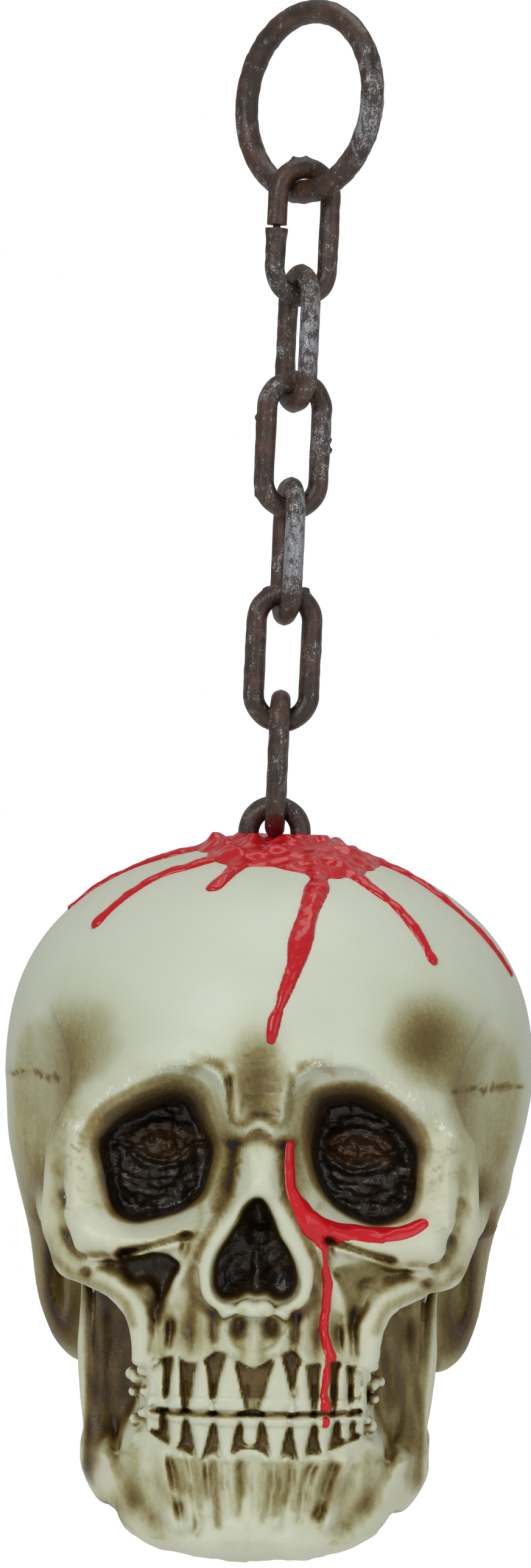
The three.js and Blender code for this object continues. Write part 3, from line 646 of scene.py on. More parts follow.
@dataclass
class Skull:
    """The moulded skull with its jaw, in millimetres from the top of the crown."""

    # Filled in by build: the face's shallow relief, and the brown that is brushed on by itself,
    # with some painted shade.
    front: Relief = field(init=False)
    ink_and_shade: Relief = field(init=False)
    socket_floor: float = -56
    nose_floor: float = -74.5
    cheek_floors: Spot = (-68, -76)
    tab: Slab = Slab(((-8.6, -196), (-0.4, -196), (-0.8, -199.4), (-8.2, -199.2)),
                     -77, -74.2, 0.4, smooth=False)
    left_socket: tuple[Spot, ...] = (
        (-48.3, -84), (-44.2, -76.2), (-37, -71.2), (-30, -67.8), (-24.5, -66.5), (-19.3, -67.5),
        (-15.8, -70.8), (-13.5, -77), (-10.2, -83.9), (-11.6, -92), (-14.5, -99), (-21.5, -103.4),
        (-28.7, -105.8), (-35, -107), (-41.5, -105), (-45, -99), (-46.5, -92),
    )
    right_socket: tuple[Spot, ...] = (
        (10.6, -81.5), (12.4, -70.5), (17.3, -66.6), (25.4, -65.4), (31.5, -67), (38.8, -71.5),
        (43.5, -76.5), (46.6, -83), (46, -90), (45.5, -97.5), (42.2, -103.3), (33, -105.8),
        (25.2, -103.6), (19.6, -100), (14.6, -94.8), (12, -89),
    )
    nose_opening: tuple[Spot, ...] = (
        (-0.4, -97.6), (-3.6, -100), (-5.8, -104.4), (-8.6, -109), (-11.2, -113.4), (-12.4, -118),
        (-12, -123.4), (-9.6, -126.4), (-5.6, -126.2), (-2.6, -124.8), (0.2, -125.2), (3, -124.8),
        (6.2, -126.2), (9.8, -125.4), (11.6, -121.4), (11, -116.6), (9, -112), (6.4, -108),
        (4.2, -103), (1.8, -99),
    )
    left_cheek_hollow: tuple[Spot, ...] = (
        (-40, -114), (-33, -113), (-26, -113), (-20.6, -116), (-21, -121), (-24.6, -129.6),
        (-26.4, -133.5), (-29, -131), (-30.6, -125), (-36.4, -124.2), (-39.6, -119.6),
    )
    right_cheek_hollow: tuple[Spot, ...] = (
        (20.4, -117), (27, -114.5), (36, -113.6), (40.6, -117), (37, -121.4), (31.6, -124.8),
        (29.6, -130), (26.4, -133.6), (23.8, -127), (21.4, -121.6),
    )
    upper_teeth: tuple[Tooth, ...] = (
        (-26.8, 5.4, -144.5, 3.4), (-21.6, 4.8, -143.5, 1.6), (-14.2, 6.6, -144, 2),
        (-6.6, 9.2, -141.4, 1.6), (7, 9.4, -141.2, 1.6), (13.4, 6.2, -144, 2),
        (19.6, 4.4, -143.6, 2.2), (24.6, 4.2, -144.5, 2.4), (29, 4.8, -145, 3.4),
    )
    lower_teeth: tuple[Tooth, ...] = (
        (-27.4, 4.8, -164, 3.2), (-21, 5.2, -166.8, 2.4), (-14.2, 7.2, -169.8, 1.4),
        (-7, 7, -170.2, 1.4), (-0.4, 6, -166, 3), (6.8, 7.6, -170, 1.4),
        (13.6, 6.6, -169.8, 1.4), (20, 5.8, -167.4, 1.8), (25.6, 4, -164.6, 2.2),
        (29.2, 3.6, -163.4, 2.4),
    )

    def sockets(self) -> tuple[tuple[tuple[Spot, ...], int], ...]:
        """The rim and the side of each orbit."""
        return (self.left_socket, -1), (self.right_socket, 1)

    @staticmethod
    def face() -> list[tuple[Form, float]]:
        """The big forms of the face, each with the rounding of its seam."""
        middle_face = Levels((
            (58, 42, -80, -12, -24), (66, 48, -83.6, -12, -24), (76, 52, -85, -12, -24),
            (84, 55, -84.5, -12, -24), (92, 57.5, -83.6, -12, -24), (102, 58.5, -82.5, -12, -24),
            (112, 57, -82, -12, -24), (119, 50, -82, -12, -26), (126, 41, -83, -12, -30),
            (134, 33, -84.2, -20, -36), (144, 31, -85, -30, -44), (152, 31, -85, -36, -48),
        ), 2.5, 4)
        nose_rise = Lump((0, -68, -103), (25, 21.5, 29))
        gum = Levels((
            (138, 30, -84.4, -38, -52), (146, 33, -85, -38, -54), (158, 33.4, -84.6, -38, -54),
            (166, 32.6, -84.2, -38, -52), (174, 31, -82.6, -38, -50), (180, 29, -81, -42, -50),
        ), 2.5, 3)
        jaw = Levels((
            (158, 32, -78, -36, -46), (166, 40, -80, -26, -42), (172, 48.4, -81.5, -10, -34),
            (177, 48.4, -82.5, -10, -32), (181, 46.2, -83.6, -14, -36),
            (186, 41.2, -84.4, -24, -42), (192, 34, -84, -36, -50), (196, 27.4, -82, -44, -56),
            (199, 21.6, -79, -52, -60),
        ), 2.6, 3)
        wall = Slab(((-46, -114), (46, -114), (46, -178), (-46, -178)), -51, -36, 2, smooth=False)
        return [(middle_face, 6), (nose_rise, 8), (wall, 3), (gum, 4), (jaw, 4)]

    @staticmethod
    def ridges() -> list[tuple[Form, float]]:
        """Ridges and lumps on one side that both sides share."""
        brow = Limb(((11, -80.2, -69, 3.6), (16, -80.2, -63.2, 3.6), (25, -78, -61.6, 4.2),
                     (35, -73.2, -65.6, 4.4), (44, -67.2, -71.8, 4.6), (50.6, -61.2, -78.3, 4.8),
                     (54, -58, -86, 4.6)))
        plate = Limb(((54.6, -59, -84, 4.2), (56.4, -57, -93, 4.6), (56.4, -57, -103, 4.9),
                      (54.6, -57.6, -111, 5.6), (51.8, -59, -117, 5.8)))
        outer_wall = Limb(((49.6, -66.5, -82, 3.6), (50.6, -65.5, -93, 4), (50, -66.5, -103, 4.6),
                           (46.5, -70, -110.5, 5.4)))
        crest = Limb(((52, -58, -117.5, 5), (45, -64, -121, 5), (38.6, -69, -124, 4.6),
                      (34, -72.4, -129.6, 4), (31.8, -73.6, -136, 3.6), (31, -74, -143, 3.2)))
        lower_rim = Limb(((46, -71.4, -109.6, 4), (38, -76, -111, 4), (29, -80, -109, 3.8),
                          (21, -82.4, -105, 3.4), (15, -84, -98.6, 3.2), (11.6, -84.6, -90, 3.2)))
        inner_wall = Limb(((8.6, -80.6, -78, 4), (9.4, -82.6, -86, 4.2), (10.8, -84, -94, 4.4)))
        arch = Limb(((56.4, -55, -107, 5.8), (59.4, -44, -106, 5), (61.4, -32, -104, 4.4),
                     (63, -16, -101, 4), (65, 0, -99, 4.4), (66, 12, -98, 5)), (1.35, 1, 1))
        nose_side = Limb(((2.8, -89.4, -95, 2.4), (6.6, -88, -101, 2), (10.8, -86.6, -109, 1.9),
                          (13.8, -85.2, -117, 1.9), (13.2, -84.8, -124.5, 1.9),
                          (8.2, -86, -128.4, 1.8)))
        nasal = Limb(((4, -80.6, -78, 4), (3.6, -84.8, -86, 3.6), (2.6, -89.6, -93.6, 3.6)))
        spine = Lump((2.7, -87.4, -128), (2.5, 2.6, 2.1))
        behind_ear = Lump((51, 8, -138), (9.5, 14, 15), -10)
        ear_nub = Lump((64.4, -6, -107.6), (3.6, 4, 5))
        return [(brow, 12), (plate, 5), (outer_wall, 6), (crest, 4), (lower_rim, 5),
                (inner_wall, 5), (arch, 4), (nose_side, 3), (nasal, 4), (spine, 1.6),
                (behind_ear, 6), (ear_nub, 3)]

    @staticmethod
    def jaw_side() -> list[tuple[Form, float]]:
        """The upright branch of the jaw and the ridge along its front edge, on one side."""
        plate = Slab(((-34, -120), (-18, -116), (-3, -118), (1, -132), (-2, -150), (-6, -162),
                      (-12, -172), (-30, -176), (-50, -178), (-52, -172), (-44, -164),
                      (-38, -150), (-36, -134)), 43.6, 48.8, 2.2, from_side=True)
        front_ridge = Limb(((50.4, -40, -126, 2.6), (48.8, -42, -140, 2.7), (47.6, -44, -152, 2.8),
                            (46, -47, -162, 3), (43.4, -51, -171, 3.2), (39.6, -57, -179, 3.4),
                            (34, -65, -185, 3.6), (28, -71, -188, 3.6)))
        lower_edge = Limb(((46.2, -14, -170, 3), (45.4, -28, -176.6, 3.4), (42.4, -46, -182, 3.6),
                           (35.4, -62, -187, 4), (26, -73, -191.4, 4.2), (12, -79, -193.6, 4.2)))
        loop = Limb(((24, -75.5, -171, 2.2), (27.2, -72.6, -178, 2.2), (25.6, -75, -185.6, 2.2),
                     (20, -79.4, -187.6, 2)))
        beads = [Lump((x, y, z), (1.25 * r, r, 0.88 * r)) for x, y, z, r in (
            (30.6, -68.6, -140.4, 2.2), (31.4, -67.6, -144.8, 2.4), (31.8, -67, -150, 2.5),
            (33.8, -64, -149.4, 2.1), (33, -65, -154.2, 1.9), (31.6, -67, -161.6, 2.5),
            (30.8, -68.6, -166.8, 2.2), (29.8, -70.4, -171.4, 2), (30, -71.4, -147.4, 2),
            (30.2, -71.4, -159.6, 2), (30, -71.4, -153.6, 1.8))]
        return [(plate, 3), (front_ridge, 3), (lower_edge, 4), (loop, 2),
                *[(bead, 1) for bead in beads]]

    @staticmethod
    def hollows() -> list[tuple[Form, float]]:
        """What is cut out alike on both sides, the temple first."""
        temple = Lump((70.5, -44, -84), (15.5, 29, 33), -14)
        temple_edge = Limb(((71, -38, -43, 3), (68.6, -41, -50, 5.5), (66.8, -44, -58, 9),
                            (66, -46, -66, 12), (66, -45.5, -76, 13), (67, -43, -87, 11)))
        under_arch = Lump((57, -22, -130), (8.5, 25, 21))
        mouth_side = Slab(((46.2, -131), (41.5, -129.6), (37.6, -131), (35.2, -136), (35.6, -142),
                           (38.6, -149), (38.8, -156), (36.8, -162), (36, -167), (37.4, -171.4),
                           (41, -169.6), (43.6, -162), (44.6, -150), (45.8, -140)),
                          -100, -49.5, 1.5, 0.05)
        return [(temple, 5), (temple_edge, 3), (under_arch, 5), (mouth_side, 2)]

    def socket_cut(self, sculpt: Sculpt, outline: tuple[Spot, ...], side: int) -> None:
        """Cuts one orbit down to the withered eye on its floor.

        Args:
            sculpt: The skull so far.
            outline: The orbit's rim seen from the front.
            side: -1 for the viewer's left, 1 for the right.
        """
        (across, *part), (x, y, z) = sculpt.window((-55, -100, -114), (55, -40, -58))
        middle = int(np.searchsorted(sculpt.axes[0], 0))
        across = slice(across.start, middle) if side < 0 else slice(middle, across.stop)
        part = (across, *part)
        x = sculpt.axes[0][across].astype(np.float32)[:, None, None]
        flat = rim_distance(x[:, 0, :], z[0], outline)
        eye = (side * 27.5 - 1.2 * (side < 0), -85)
        detail = Relief(x[:, 0, 0], z[0, 0])
        ball = ((detail.across - eye[0]) / 17) ** 2 + ((detail.up - eye[1] + 6) / 16) ** 2
        self.draw_eye(detail, eye, side)
        floor = self.socket_floor - 7.5 * np.exp(-ball) + detail.depth
        outer = smooth_step(4, 22, side * (x - eye[0]))
        walls = flat[:, None, :] + self.inset(x, z, side) * smooth_step(-84, -70, y)
        walls = walls + 0.1 * (y + 70)
        walls = walls + (0.42 + 0.3 * outer) * soft_min(y + 76 - 10 * outer, 0 * y, 4)
        cut = soft_max(walls, y - floor[:, None, :], 4)
        sculpt.field[part] = soft_max(sculpt.field[part], -cut, 1.6)

    @staticmethod
    def inset(x: Array, z: Array, side: int) -> Array:
        """How far an orbit's wall draws in from its rim to its floor."""
        roof = smooth_step(-90, -72, z)
        inner = smooth_step(22, 12, side * x)
        outer = smooth_step(34, 44, side * x)
        return 1 + 4.6 * roof + 2.6 * inner * (1 - roof) + 1.8 * outer * (1 - 0.4 * roof)

    @staticmethod
    def draw_eye(detail: Relief, eye: Spot, side: int) -> None:
        """The closed lid's creases, the almond of the withered eye and the dry skin round it."""
        pen = Pen(detail, -side, eye)
        slit = pen.at(((-22, 0.6), (-14, 0.2), (-8, -1), (-3, -3.6), (2, -4.2), (6, -2.6),
                       (9, 0.2), (13, 0.8)))
        detail.stroke(slit, 0.8, 1.5)
        detail.stroke(lifted(slit[2:7], -1.7), 0.9, -1)
        lid = pen.at(((-8.4, -0.6), (-5, 2.2), (-1, 4.2), (3, 3.8), (6.6, 2), (9.2, 0.4)))
        detail.stroke(lid, 0.9, 1.2)
        detail.stroke(lifted(lid, 1.7), 1.1, -0.7)
        pen.dent((0, 0.2), (6.4, 3), -2.2)
        for crack in (((-4, -1.6), (-2.4, 1), (-3, 3)), ((-2.4, 1), (1, 0.4), (2.6, 2.6)),
                      ((1, 0.4), (1.6, -2.4), (4, -1.6)), ((-5.6, 0.6), (-4, -1.6)),
                      ((4.4, 1.8), (5.4, -0.6))):
            pen.stroke(crack, 0.5, 1)
        for drop, bow, wide in ((7, 1.4, 9), (9.4, 2.2, 12.5), (12, 2.8, 12), (14.6, 3.4, 12.6),
                                (17.2, 4, 10), (19.6, 4, 7)):
            line = pen.at(((-wide, bow - drop), (-wide * 0.4, -drop - 0.6),
                           (wide * 0.3, -drop - 0.2), (wide, bow - drop)))
            detail.stroke(line, 0.75, 0.42)
            detail.stroke(lifted(line, 1.3), 0.9, -0.3)
        for rise, wide in ((7.4, 12), (10, 12), (12.8, 11)):
            pen.stroke(((-wide, rise - 2.6), (0, rise), (wide, rise - 1.8)), 0.8, 0.6)
        detail.depth += 0.6 * detail.noise(4.4, 11 + side)
        detail.depth += 0.3 * detail.noise(1.9, 17 + side)

    def nose_cut(self, sculpt: Sculpt) -> None:
        """Cuts the pear-shaped opening and leaves the rough wall behind it."""
        part, (x, y, z) = sculpt.window((-22, -104, -134), (22, -50, -90))
        flat = rim_distance(x[:, 0, :], z[0], self.nose_opening)
        detail = Relief(x[:, 0, 0], z[0, 0])
        detail.dent((0, -106), (3, 9), 4)
        for side in SIDES:
            detail.dent((side * 5.6, -119), (3.4, 6), 2.6)
        detail.stroke([(0, -108), (-0.4, -115), (0, -123)], 1.6, -1.6)
        detail.depth += 0.5 * detail.noise(3.2, 23)
        floor = self.nose_floor + detail.depth
        cut = soft_max(flat[:, None, :] + 0.1 * (y + 84), y - floor[:, None, :], 3)
        sculpt.field[part] = soft_max(sculpt.field[part], -cut, 1)

    @staticmethod
    def plate(detail: Relief, outline: list[Spot], height: float, rounding: float) -> None:
        """Raises a plate with round shoulders out of a relief."""
        corners = np.array(outline)
        (a0, u0), (a1, u1) = corners.min(0) - 2, corners.max(0) + 2
        ia = slice(*np.searchsorted(detail.across[:, 0], (a0, a1)))
        iu = slice(*np.searchsorted(detail.up[0], (u0, u1)))
        flat = rim_distance(detail.across[ia], detail.up[:, iu], outline, 5)
        run = np.clip(-flat / rounding, 0, 1)
        detail.depth[ia, iu] -= height * np.sqrt(np.clip(1 - (1 - run) ** 2, 0, 1))

    @staticmethod
    def roughness(detail: Relief) -> Array:
        """The hand-carved unevenness of the face."""
        rough = sum(much * detail.noise(scale, seed)
                    for scale, much, seed in ((12, 0.3, 71), (5, 0.16, 73), (2.4, 0.08, 79)))
        return rough * smooth_step(-56, -72, detail.up)

    def brush(self, ink_and_shade: Relief) -> None:
        """Brown brushed on by itself, with some strokes of painted shade: the strokes' depth is how
        dark they are.
        """
        for side in SIDES:
            pen = Pen(ink_and_shade, side)
            pen.stroke(((20, -62.4), (15.6, -60.2), (11, -60.8)), 1.5, 0.22)
            pen.stroke(((7.2, -82), (7.4, -88), (8.4, -94), (11.6, -100)), 2, 0.42)
            pen.stroke(((7.4, -97), (12.8, -106), (17.2, -114), (18, -121), (15.6, -127.2),
                        (9.6, -131.4)), 1.6, 0.32)
            pen.stroke(((46, -115), (41, -116.4), (33, -116)), 2, 0.12)
            # Painted shade along the cheekbone's lower edge.
            pen.stroke(((57, -117.6), (50, -122.6), (42, -124.8), (36.6, -128), (33.8, -134)),
                       1.8, 0.26)
            pen.stroke(((33, -170), (31.4, -180), (27, -187)), 2.8, 0.2)
            pen.stroke(((27, -176), (23, -181), (17, -187)), 2.2, 0.08)
            pen.stroke(((36, -181), (31, -186), (24, -191)), 2.8, 0.1)
        ink_and_shade.stroke([(-27.4, -158), (-12, -157.8), (0, -157.5), (14, -157.2), (30, -156.8)],
                   0.9, 0.4)
        # Painted shadow under the bone edge over the nose.
        ink_and_shade.stroke([(-11.5, -81.8), (-6.6, -82.6), (-0.3, -80), (5, -82.2), (9.5, -82)], 1.5, 0.42)
        ink_and_shade.stroke([(-8.4, -64), (-8.2, -72), (-7.4, -76.2), (-4, -76.6), (-0.3, -74), (4, -76.4),
                    (7.2, -76), (8, -70), (8.2, -63)], 1.2, 0.3)
        rng = np.random.default_rng(12)
        self.brush_roots(ink_and_shade, rng)
        self.brush_hatching(ink_and_shade, rng)

    @staticmethod
    def brush_roots(ink_and_shade: Relief, rng: np.random.Generator) -> None:
        """Streaks down the chin and up the roots of the upper teeth."""
        for start in np.arange(-27, 28, 2.3):
            start += rng.uniform(-0.8, 0.8)
            low = -178 - rng.uniform(0, 11)
            ink_and_shade.stroke([(start, -171), (start * 0.93, -177), (start * 0.85, low)], 1.3,
                       rng.uniform(0.02, 0.22))
        for start in (-28.4, -25.4, -18.4, -11.4, -3, 2.6, 11.4, 17.8, 24.8, 28.6):
            top = -128 - rng.uniform(0, 4)
            ink_and_shade.stroke([(start * 0.97, top), (start, -136), (start, -142)], 1.5,
                       rng.uniform(0.06, 0.2))

    @staticmethod
    def brush_hatching(ink_and_shade: Relief, rng: np.random.Generator) -> None:
        """Short hatching over the cheekbones and in front of the temples."""
        for height in np.arange(-106, -82, 1.3):
            for side in SIDES:
                start, reach = rng.uniform(47, 51), rng.uniform(2, 5)
                end = (side * (start + reach), height + rng.uniform(0.5, 2.6))
                ink_and_shade.stroke([(side * start, height), end], 0.45, rng.uniform(0.02, 0.13))
        for side, ends in zip(SIDES, ((59, 76), (54, 75))):
            for place in np.arange(*ends, 1.7):
                height = -67.8 + rng.uniform(-0.6, 0.6)
                ink_and_shade.stroke([(side * place, height), (side * (place + 0.6), height)], 0.55, 0.34)
            for height in np.arange(-66, -54, 1.9):
                ink_and_shade.stroke([(side * 67, height), (side * 67, height - 0.6)], 0.5, 0.24)

    @staticmethod
    def brow_relief(detail: Relief) -> None:
        """The bone edge over the nose, its two folds and the wrinkled skin between them."""
        edge = [(-17, -62.4), (-13, -65), (-11.4, -71), (-10.8, -78.6), (-6.4, -79.6), (-0.3, -77),
                (5, -79.2), (10, -79), (11.2, -72), (11.2, -66), (15, -62)]
        detail.dent((0, -67), (9.5, 9), 1.6)
        detail.stroke(edge, 1.8, -2.8)
        for side in SIDES:
            pen = Pen(detail, side)
            pen.stroke(((8.4, -62), (7.2, -68), (6.8, -75)), 1.5, -1.1)
            pen.stroke(((9.4, -65), (9, -71), (8.8, -76)), 0.9, 0.9)
            pen.stroke(((19, -58.6), (13, -60.6), (8.6, -65)), 1.8, 0.5)
            pen.stroke(((7.2, -83.4), (7.4, -89), (8.4, -94.6)), 1.9, 1.5)
        rng = np.random.default_rng(5)
        for height in np.arange(-74, -52, 2.3):
            start, length = rng.uniform(-6, -2), rng.uniform(4, 9)
            middle = (start + length / 2, height + rng.uniform(-0.9, 0.9))
            detail.stroke([(start, height), middle, (start + length, height)], 0.6, 0.5)

    @staticmethod
    def cheek_relief(detail: Relief) -> None:
        """Bone edges and pits under the orbits and beside the nose."""
        for side in SIDES:
            pen = Pen(detail, side)
            pen.stroke(((37.5, -113.8), (30, -112), (24, -109.8), (20, -108.4)), 1.3, 1.2)
            pen.stroke(((47, -117.4), (38, -116.6), (30, -113.6), (22, -111.4)), 1.2, -0.9)
            pen.dent((19.6, -108.8), (2, 1.1), 1.8)
            pen.dent((47.6, -120.8), (1.6, 1.3), 1.4)
            pen.dent((41, -118), (1.3, 1), 0.9)
            pen.stroke(((17.6, -111), (18.8, -116), (22.6, -123), (25, -132), (25.6, -141)),
                       1.6, -1.3)
            pen.stroke(((52.4, -86), (52.2, -97), (53, -105)), 1, -0.5)
            pen.stroke(((18, -98), (15.6, -104), (19.4, -112), (20.8, -119)), 1.4, 0.7)
            pen.stroke(((13.4, -95), (13, -103), (17, -112)), 1.1, -0.5)
        detail.dent((29.6, -121.4), (2.6, 1.7), 1.6, 20)

    def mouth_relief(self, detail: Relief) -> None:
        """Both gums with their scalloped edges, roots, recesses and teeth."""
        upper_edge = [(-28.6, -146.6), (-27, -144.6), (-22, -142.6), (-18, -144), (-14, -142.8),
                      (-10.4, -140.6), (-7, -141), (-3, -143.6), (0.2, -144.4), (3.2, -143.2),
                      (7, -140.6), (11, -140), (14.4, -143), (18, -143), (22, -142.4),
                      (27, -144.4), (30.6, -146)]
        lower_edge = [(30, -163.6), (26, -165.4), (20, -168), (16.8, -168.4), (13.4, -170.6),
                      (10, -168.8), (7, -170.8), (3.2, -168), (-0.4, -167), (-4, -168),
                      (-7.2, -171), (-10.8, -169), (-14, -171), (-18, -168.6), (-21, -167.8),
                      (-27, -165), (-28.6, -163.6)]
        recess = [*upper_edge, (30.2, -154), *lower_edge, (-28.6, -154)]
        self.plate(detail, recess, -1.9, 2)
        for place, wide, _, _ in self.lower_teeth:
            gap = place + wide / 2 + 0.2
            detail.stroke([(gap, -158), (gap, -163)], 0.5, 0.8)
        for line, way in ((upper_edge, 1), (lower_edge, -1)):
            detail.stroke(lifted(line, 1.5 * way), 1.2, -0.6)
        for place, wide, root, slim in self.upper_teeth:
            tooth = tooth_outline(place, -157.2, root, wide + 0.7, slim + 0.9)
            self.plate(detail, tooth, 2.9, 2.2)
            detail.stroke([(place, root + 1.5), (place * 1.01, root + 7), (place, root + 12)],
                          1.9, -0.8)
        for place, wide, root, slim in self.lower_teeth:
            tooth = tooth_outline(place, -157.7, root, wide + 0.7, slim + 1)
            self.plate(detail, tooth, 2.9, 2.2)
        self.bite_relief(detail)
        for side in SIDES:
            pen = Pen(detail, side)
            pen.dent((4.8, -133), (2, 2.9), 2.4)
            pen.stroke(((9, -130.4), (8.4, -136), (5.4, -139.6), (1, -141)), 1.1, -1)
            pen.stroke(((1.2, -129.6), (3, -130), (7.6, -129.4)), 1.1, -0.8)
            pen.stroke(((11.6, -130), (11.2, -136), (10.6, -140)), 0.9, 0.7)
            pen.stroke(((17.4, -126), (17.8, -134), (17.4, -141)), 1.1, 0.5)
            pen.stroke(((23.4, -134), (24, -141)), 1, 0.45)
        detail.stroke([(0, -128), (0.2, -134), (0, -142)], 1.3, -1)

    def bite_relief(self, detail: Relief) -> None:
        """The bar along the teeth's edges, the slit in it and the gaps of the upper row."""
        self.plate(detail, [(-28, -153.6), (29.6, -153.2), (29.6, -160), (-28, -160.6)], 1.2, 1.6)
        detail.stroke([(-26.4, -157.9), (-12, -157.6), (0, -157.3), (14, -157), (29.8, -156.6)],
                      0.46, 1.7)
        for place, wide, _, _ in self.upper_teeth:
            gap = place + wide / 2 + 0.3
            detail.stroke([(gap, -157), (gap, -150)], 0.5, 0.9)

    @staticmethod
    def jaw_relief(detail: Relief) -> None:
        """The tendons that hang from the lower gum, their loops, the chin's seam and pits."""
        rng = np.random.default_rng(8)
        for place in (-25, -20, -14.6, -9.6, -5, 4, 9, 14.6, 20.4, 26):
            bow, low = rng.uniform(-1.5, 1.5), -182 - rng.uniform(0, 8)
            line = [(place, -169.6), (place * 0.95 + bow, -175), (place * 0.82, low)]
            detail.stroke(line, 2.1, -1.7)
            detail.stroke([(a + 0.6, b) for a, b in line], 0.8, -0.6)
            bow = rng.uniform(-1, 1)
            middle = place + 2.5
            line = [(middle, -172), (middle * 0.92 + bow, -178), (middle * 0.82, low - 2)]
            detail.stroke(line, 1.5, 1)
        for side in SIDES:
            pen = Pen(detail, side)
            pen.stroke(((14.4, -176), (17.6, -179.6), (21.8, -182), (23.4, -186), (20, -188.8),
                        (16, -187.8)), 1.9, -1.2)
            pen.dent((18.8, -184.4), (2.8, 3), 1)
            pen.stroke(((39.6, -166), (37.6, -173), (34.6, -179), (32, -183)), 2.4, 1.9)
            pen.dent((7.9, -177.2), (1.5, 1.9), 1.2)
            pen.stroke(((13.4, -177), (12.4, -184), (15.4, -191)), 2, 0.9)
            pen.stroke(((28, -178), (25.4, -185), (26, -191)), 1.8, 0.5)
        detail.stroke([(-0.2, -171), (0.2, -184), (0.4, -196)], 0.6, 0.45)
        detail.dent((0, -189), (15, 6), -1.6)

    @staticmethod
    def side_relief(detail: Relief) -> None:
        """Grooves in the branch of the jaw and the cheek's arch, seen from the side."""
        rng = np.random.default_rng(3)
        for start in (-36, -31, -26, -20.5, -15, -9):
            shift = rng.uniform(-1.5, 1.5)
            line = [(start, -130), (start + 1.5 + shift, -148), (start - 3, -164),
                    (start - 7, -175)]
            detail.stroke(line, 1.4, 0.7)
        detail.stroke([(-26, -113), (-10, -108), (4, -106)], 1.6, 0.5)
        detail.dent((18, -112), (4, 5), 3)

    @staticmethod
    def grid() -> tuple[Array, Array, Array]:
        """Grid lines that are fine over the face and coarse over the dome and back."""
        right = grid_steps(((0, 0.62), (36, 0.8), (60, 1.5)), 80)
        return (np.concatenate([-right[:0:-1], right]),
                grid_steps(((-99, 0.8), (-60, 1.1), (-30, 2.2), (10, 3)), 97),
                grid_steps(((-206, 0.8), (-172, 0.58), (-128, 0.74), (-58, 1.8)), 5))

    def rough_out(self, sculpt: Sculpt) -> None:
        """Joins the big forms and cuts the big hollows."""
        sculpt.add(Vault())
        for form, blend in self.face():
            sculpt.add(form, blend)
        temple, *hollows = self.hollows()
        self.cut_both(sculpt, *temple)
        for form, blend in [*self.ridges(), *self.jaw_side()]:
            for shape in (form, form.mirror()):
                sculpt.add(shape, blend)
        for form, blend in hollows:
            self.cut_both(sculpt, form, blend)
        cheeks = (self.left_cheek_hollow, self.right_cheek_hollow)
        for outline, floor in zip(cheeks, self.cheek_floors):
            sculpt.cut(Slab(outline, -94, floor, 1.8, 0.08), 1.6)
        under_jaw = ((-38, -186), (38, -186), (38, -206), (-38, -206))
        sculpt.cut(Slab(under_jaw, -66, 20, 3), 3)
        sculpt.add(self.tab, 0.6)

    def build(self) -> Sculpt:
        """Sculpts the whole skull.

        Returns:
            The distance field of the skull.
        """
        xs, ys, zs = self.grid()
        sculpt = Sculpt(xs, ys, zs)
        self.rough_out(sculpt)
        self.front = Relief(xs, zs)
        for relief in (self.brow_relief, self.cheek_relief, self.mouth_relief, self.jaw_relief):
            relief(self.front)
        face = smooth_step(-56, -62, ys)[None, :, None]
        sculpt.field += (self.front.depth + self.roughness(self.front))[:, None, :] * face
        self.ink_and_shade = Relief(xs, zs)
        self.brush(self.ink_and_shade)
        side = Relief(ys, zs)
        self.side_relief(side)
        sculpt.field += side.depth[None] * smooth_step(43, 47, np.abs(xs))[:, None, None]
        for outline, way in self.sockets():
            self.socket_cut(sculpt, outline, way)
        self.nose_cut(sculpt)
        return sculpt

    @staticmethod
    def cut_both(sculpt: Sculpt, form: Form, blend: float) -> None:
        """Cuts a form out on the right and its mirror on the left."""
        for shape in (form, form.mirror()):
            sculpt.cut(shape, blend)


# From the sculpt to Blender

@dataclass(frozen=True)
class Seat:
    """Where the sculpted skull hangs in the frame, in millimetres and degrees.

    Args:
        pivot: Height of the wire that it swings on.
        behind: How far the crown's top lies behind that wire.
        top: Height of the crown's top over that wire.
        lean: Its turn about the depth axis on that wire.
    """

    pivot: float = -232.2
    behind: float = 13
    top: float = -4.4
    lean: float = 1

    def matrix(self) -> Matrix:
        """The way from the sculpt's millimetres to the frame's metres."""
        turn = Matrix.Rotation(-math.radians(self.lean), 4, "Y")
        place = Matrix.Translation((0, self.behind, self.top))
        hang = Matrix.Translation((0, 0, self.pivot)) @ turn @ place
        return Matrix.Scale(MILLIMETRE, 4) @ hang


def skinned_piece(name: str, points: Array, faces: Array, seat: Seat) -> bpy.types.Object:
    """Makes a Blender piece from a skinned sculpt.

    Args:
        name: The piece's name.
        points: Its points in the sculpt's millimetres.
        faces: Its four-sided faces.
        seat: Where the sculpt hangs.

    Returns:
        The piece, smooth all over.
    """
    mesh = bpy.data.meshes.new(name)
    mesh.from_pydata(points.tolist(), [], faces.tolist())
    mesh.transform(seat.matrix())
    mesh.validate()
    mesh.shade_smooth()
    piece = bpy.data.objects.new(name, mesh)
    bpy.context.scene.collection.objects.link(piece)
    return piece


def thin_out(piece: bpy.types.Object, most: int) -> None:
    """Takes triangles away where the surface is flattest, until no more than a number are left."""
    piece.data.calc_loop_triangles()
    count = len(piece.data.loop_triangles)
    if count <= most:
        return
    bpy.ops.object.select_all(action="DESELECT")
    bpy.context.view_layer.objects.active = piece
    piece.select_set(True)
    thinner = piece.modifiers.new("thinner", "DECIMATE")
    thinner.ratio = most / count
    bpy.ops.object.modifier_apply(modifier=thinner.name)
    piece.select_set(False)


def sculpt_places(piece: bpy.types.Object, seat: Seat) -> Array:
    """The piece's points in the sculpt's millimetres."""
    flat = np.empty(len(piece.data.vertices) * 3)
    piece.data.vertices.foreach_get("co", flat)
    back = np.array(seat.matrix().inverted())
    return flat.reshape(-1, 3) @ back[:3, :3].T + back[:3, 3]


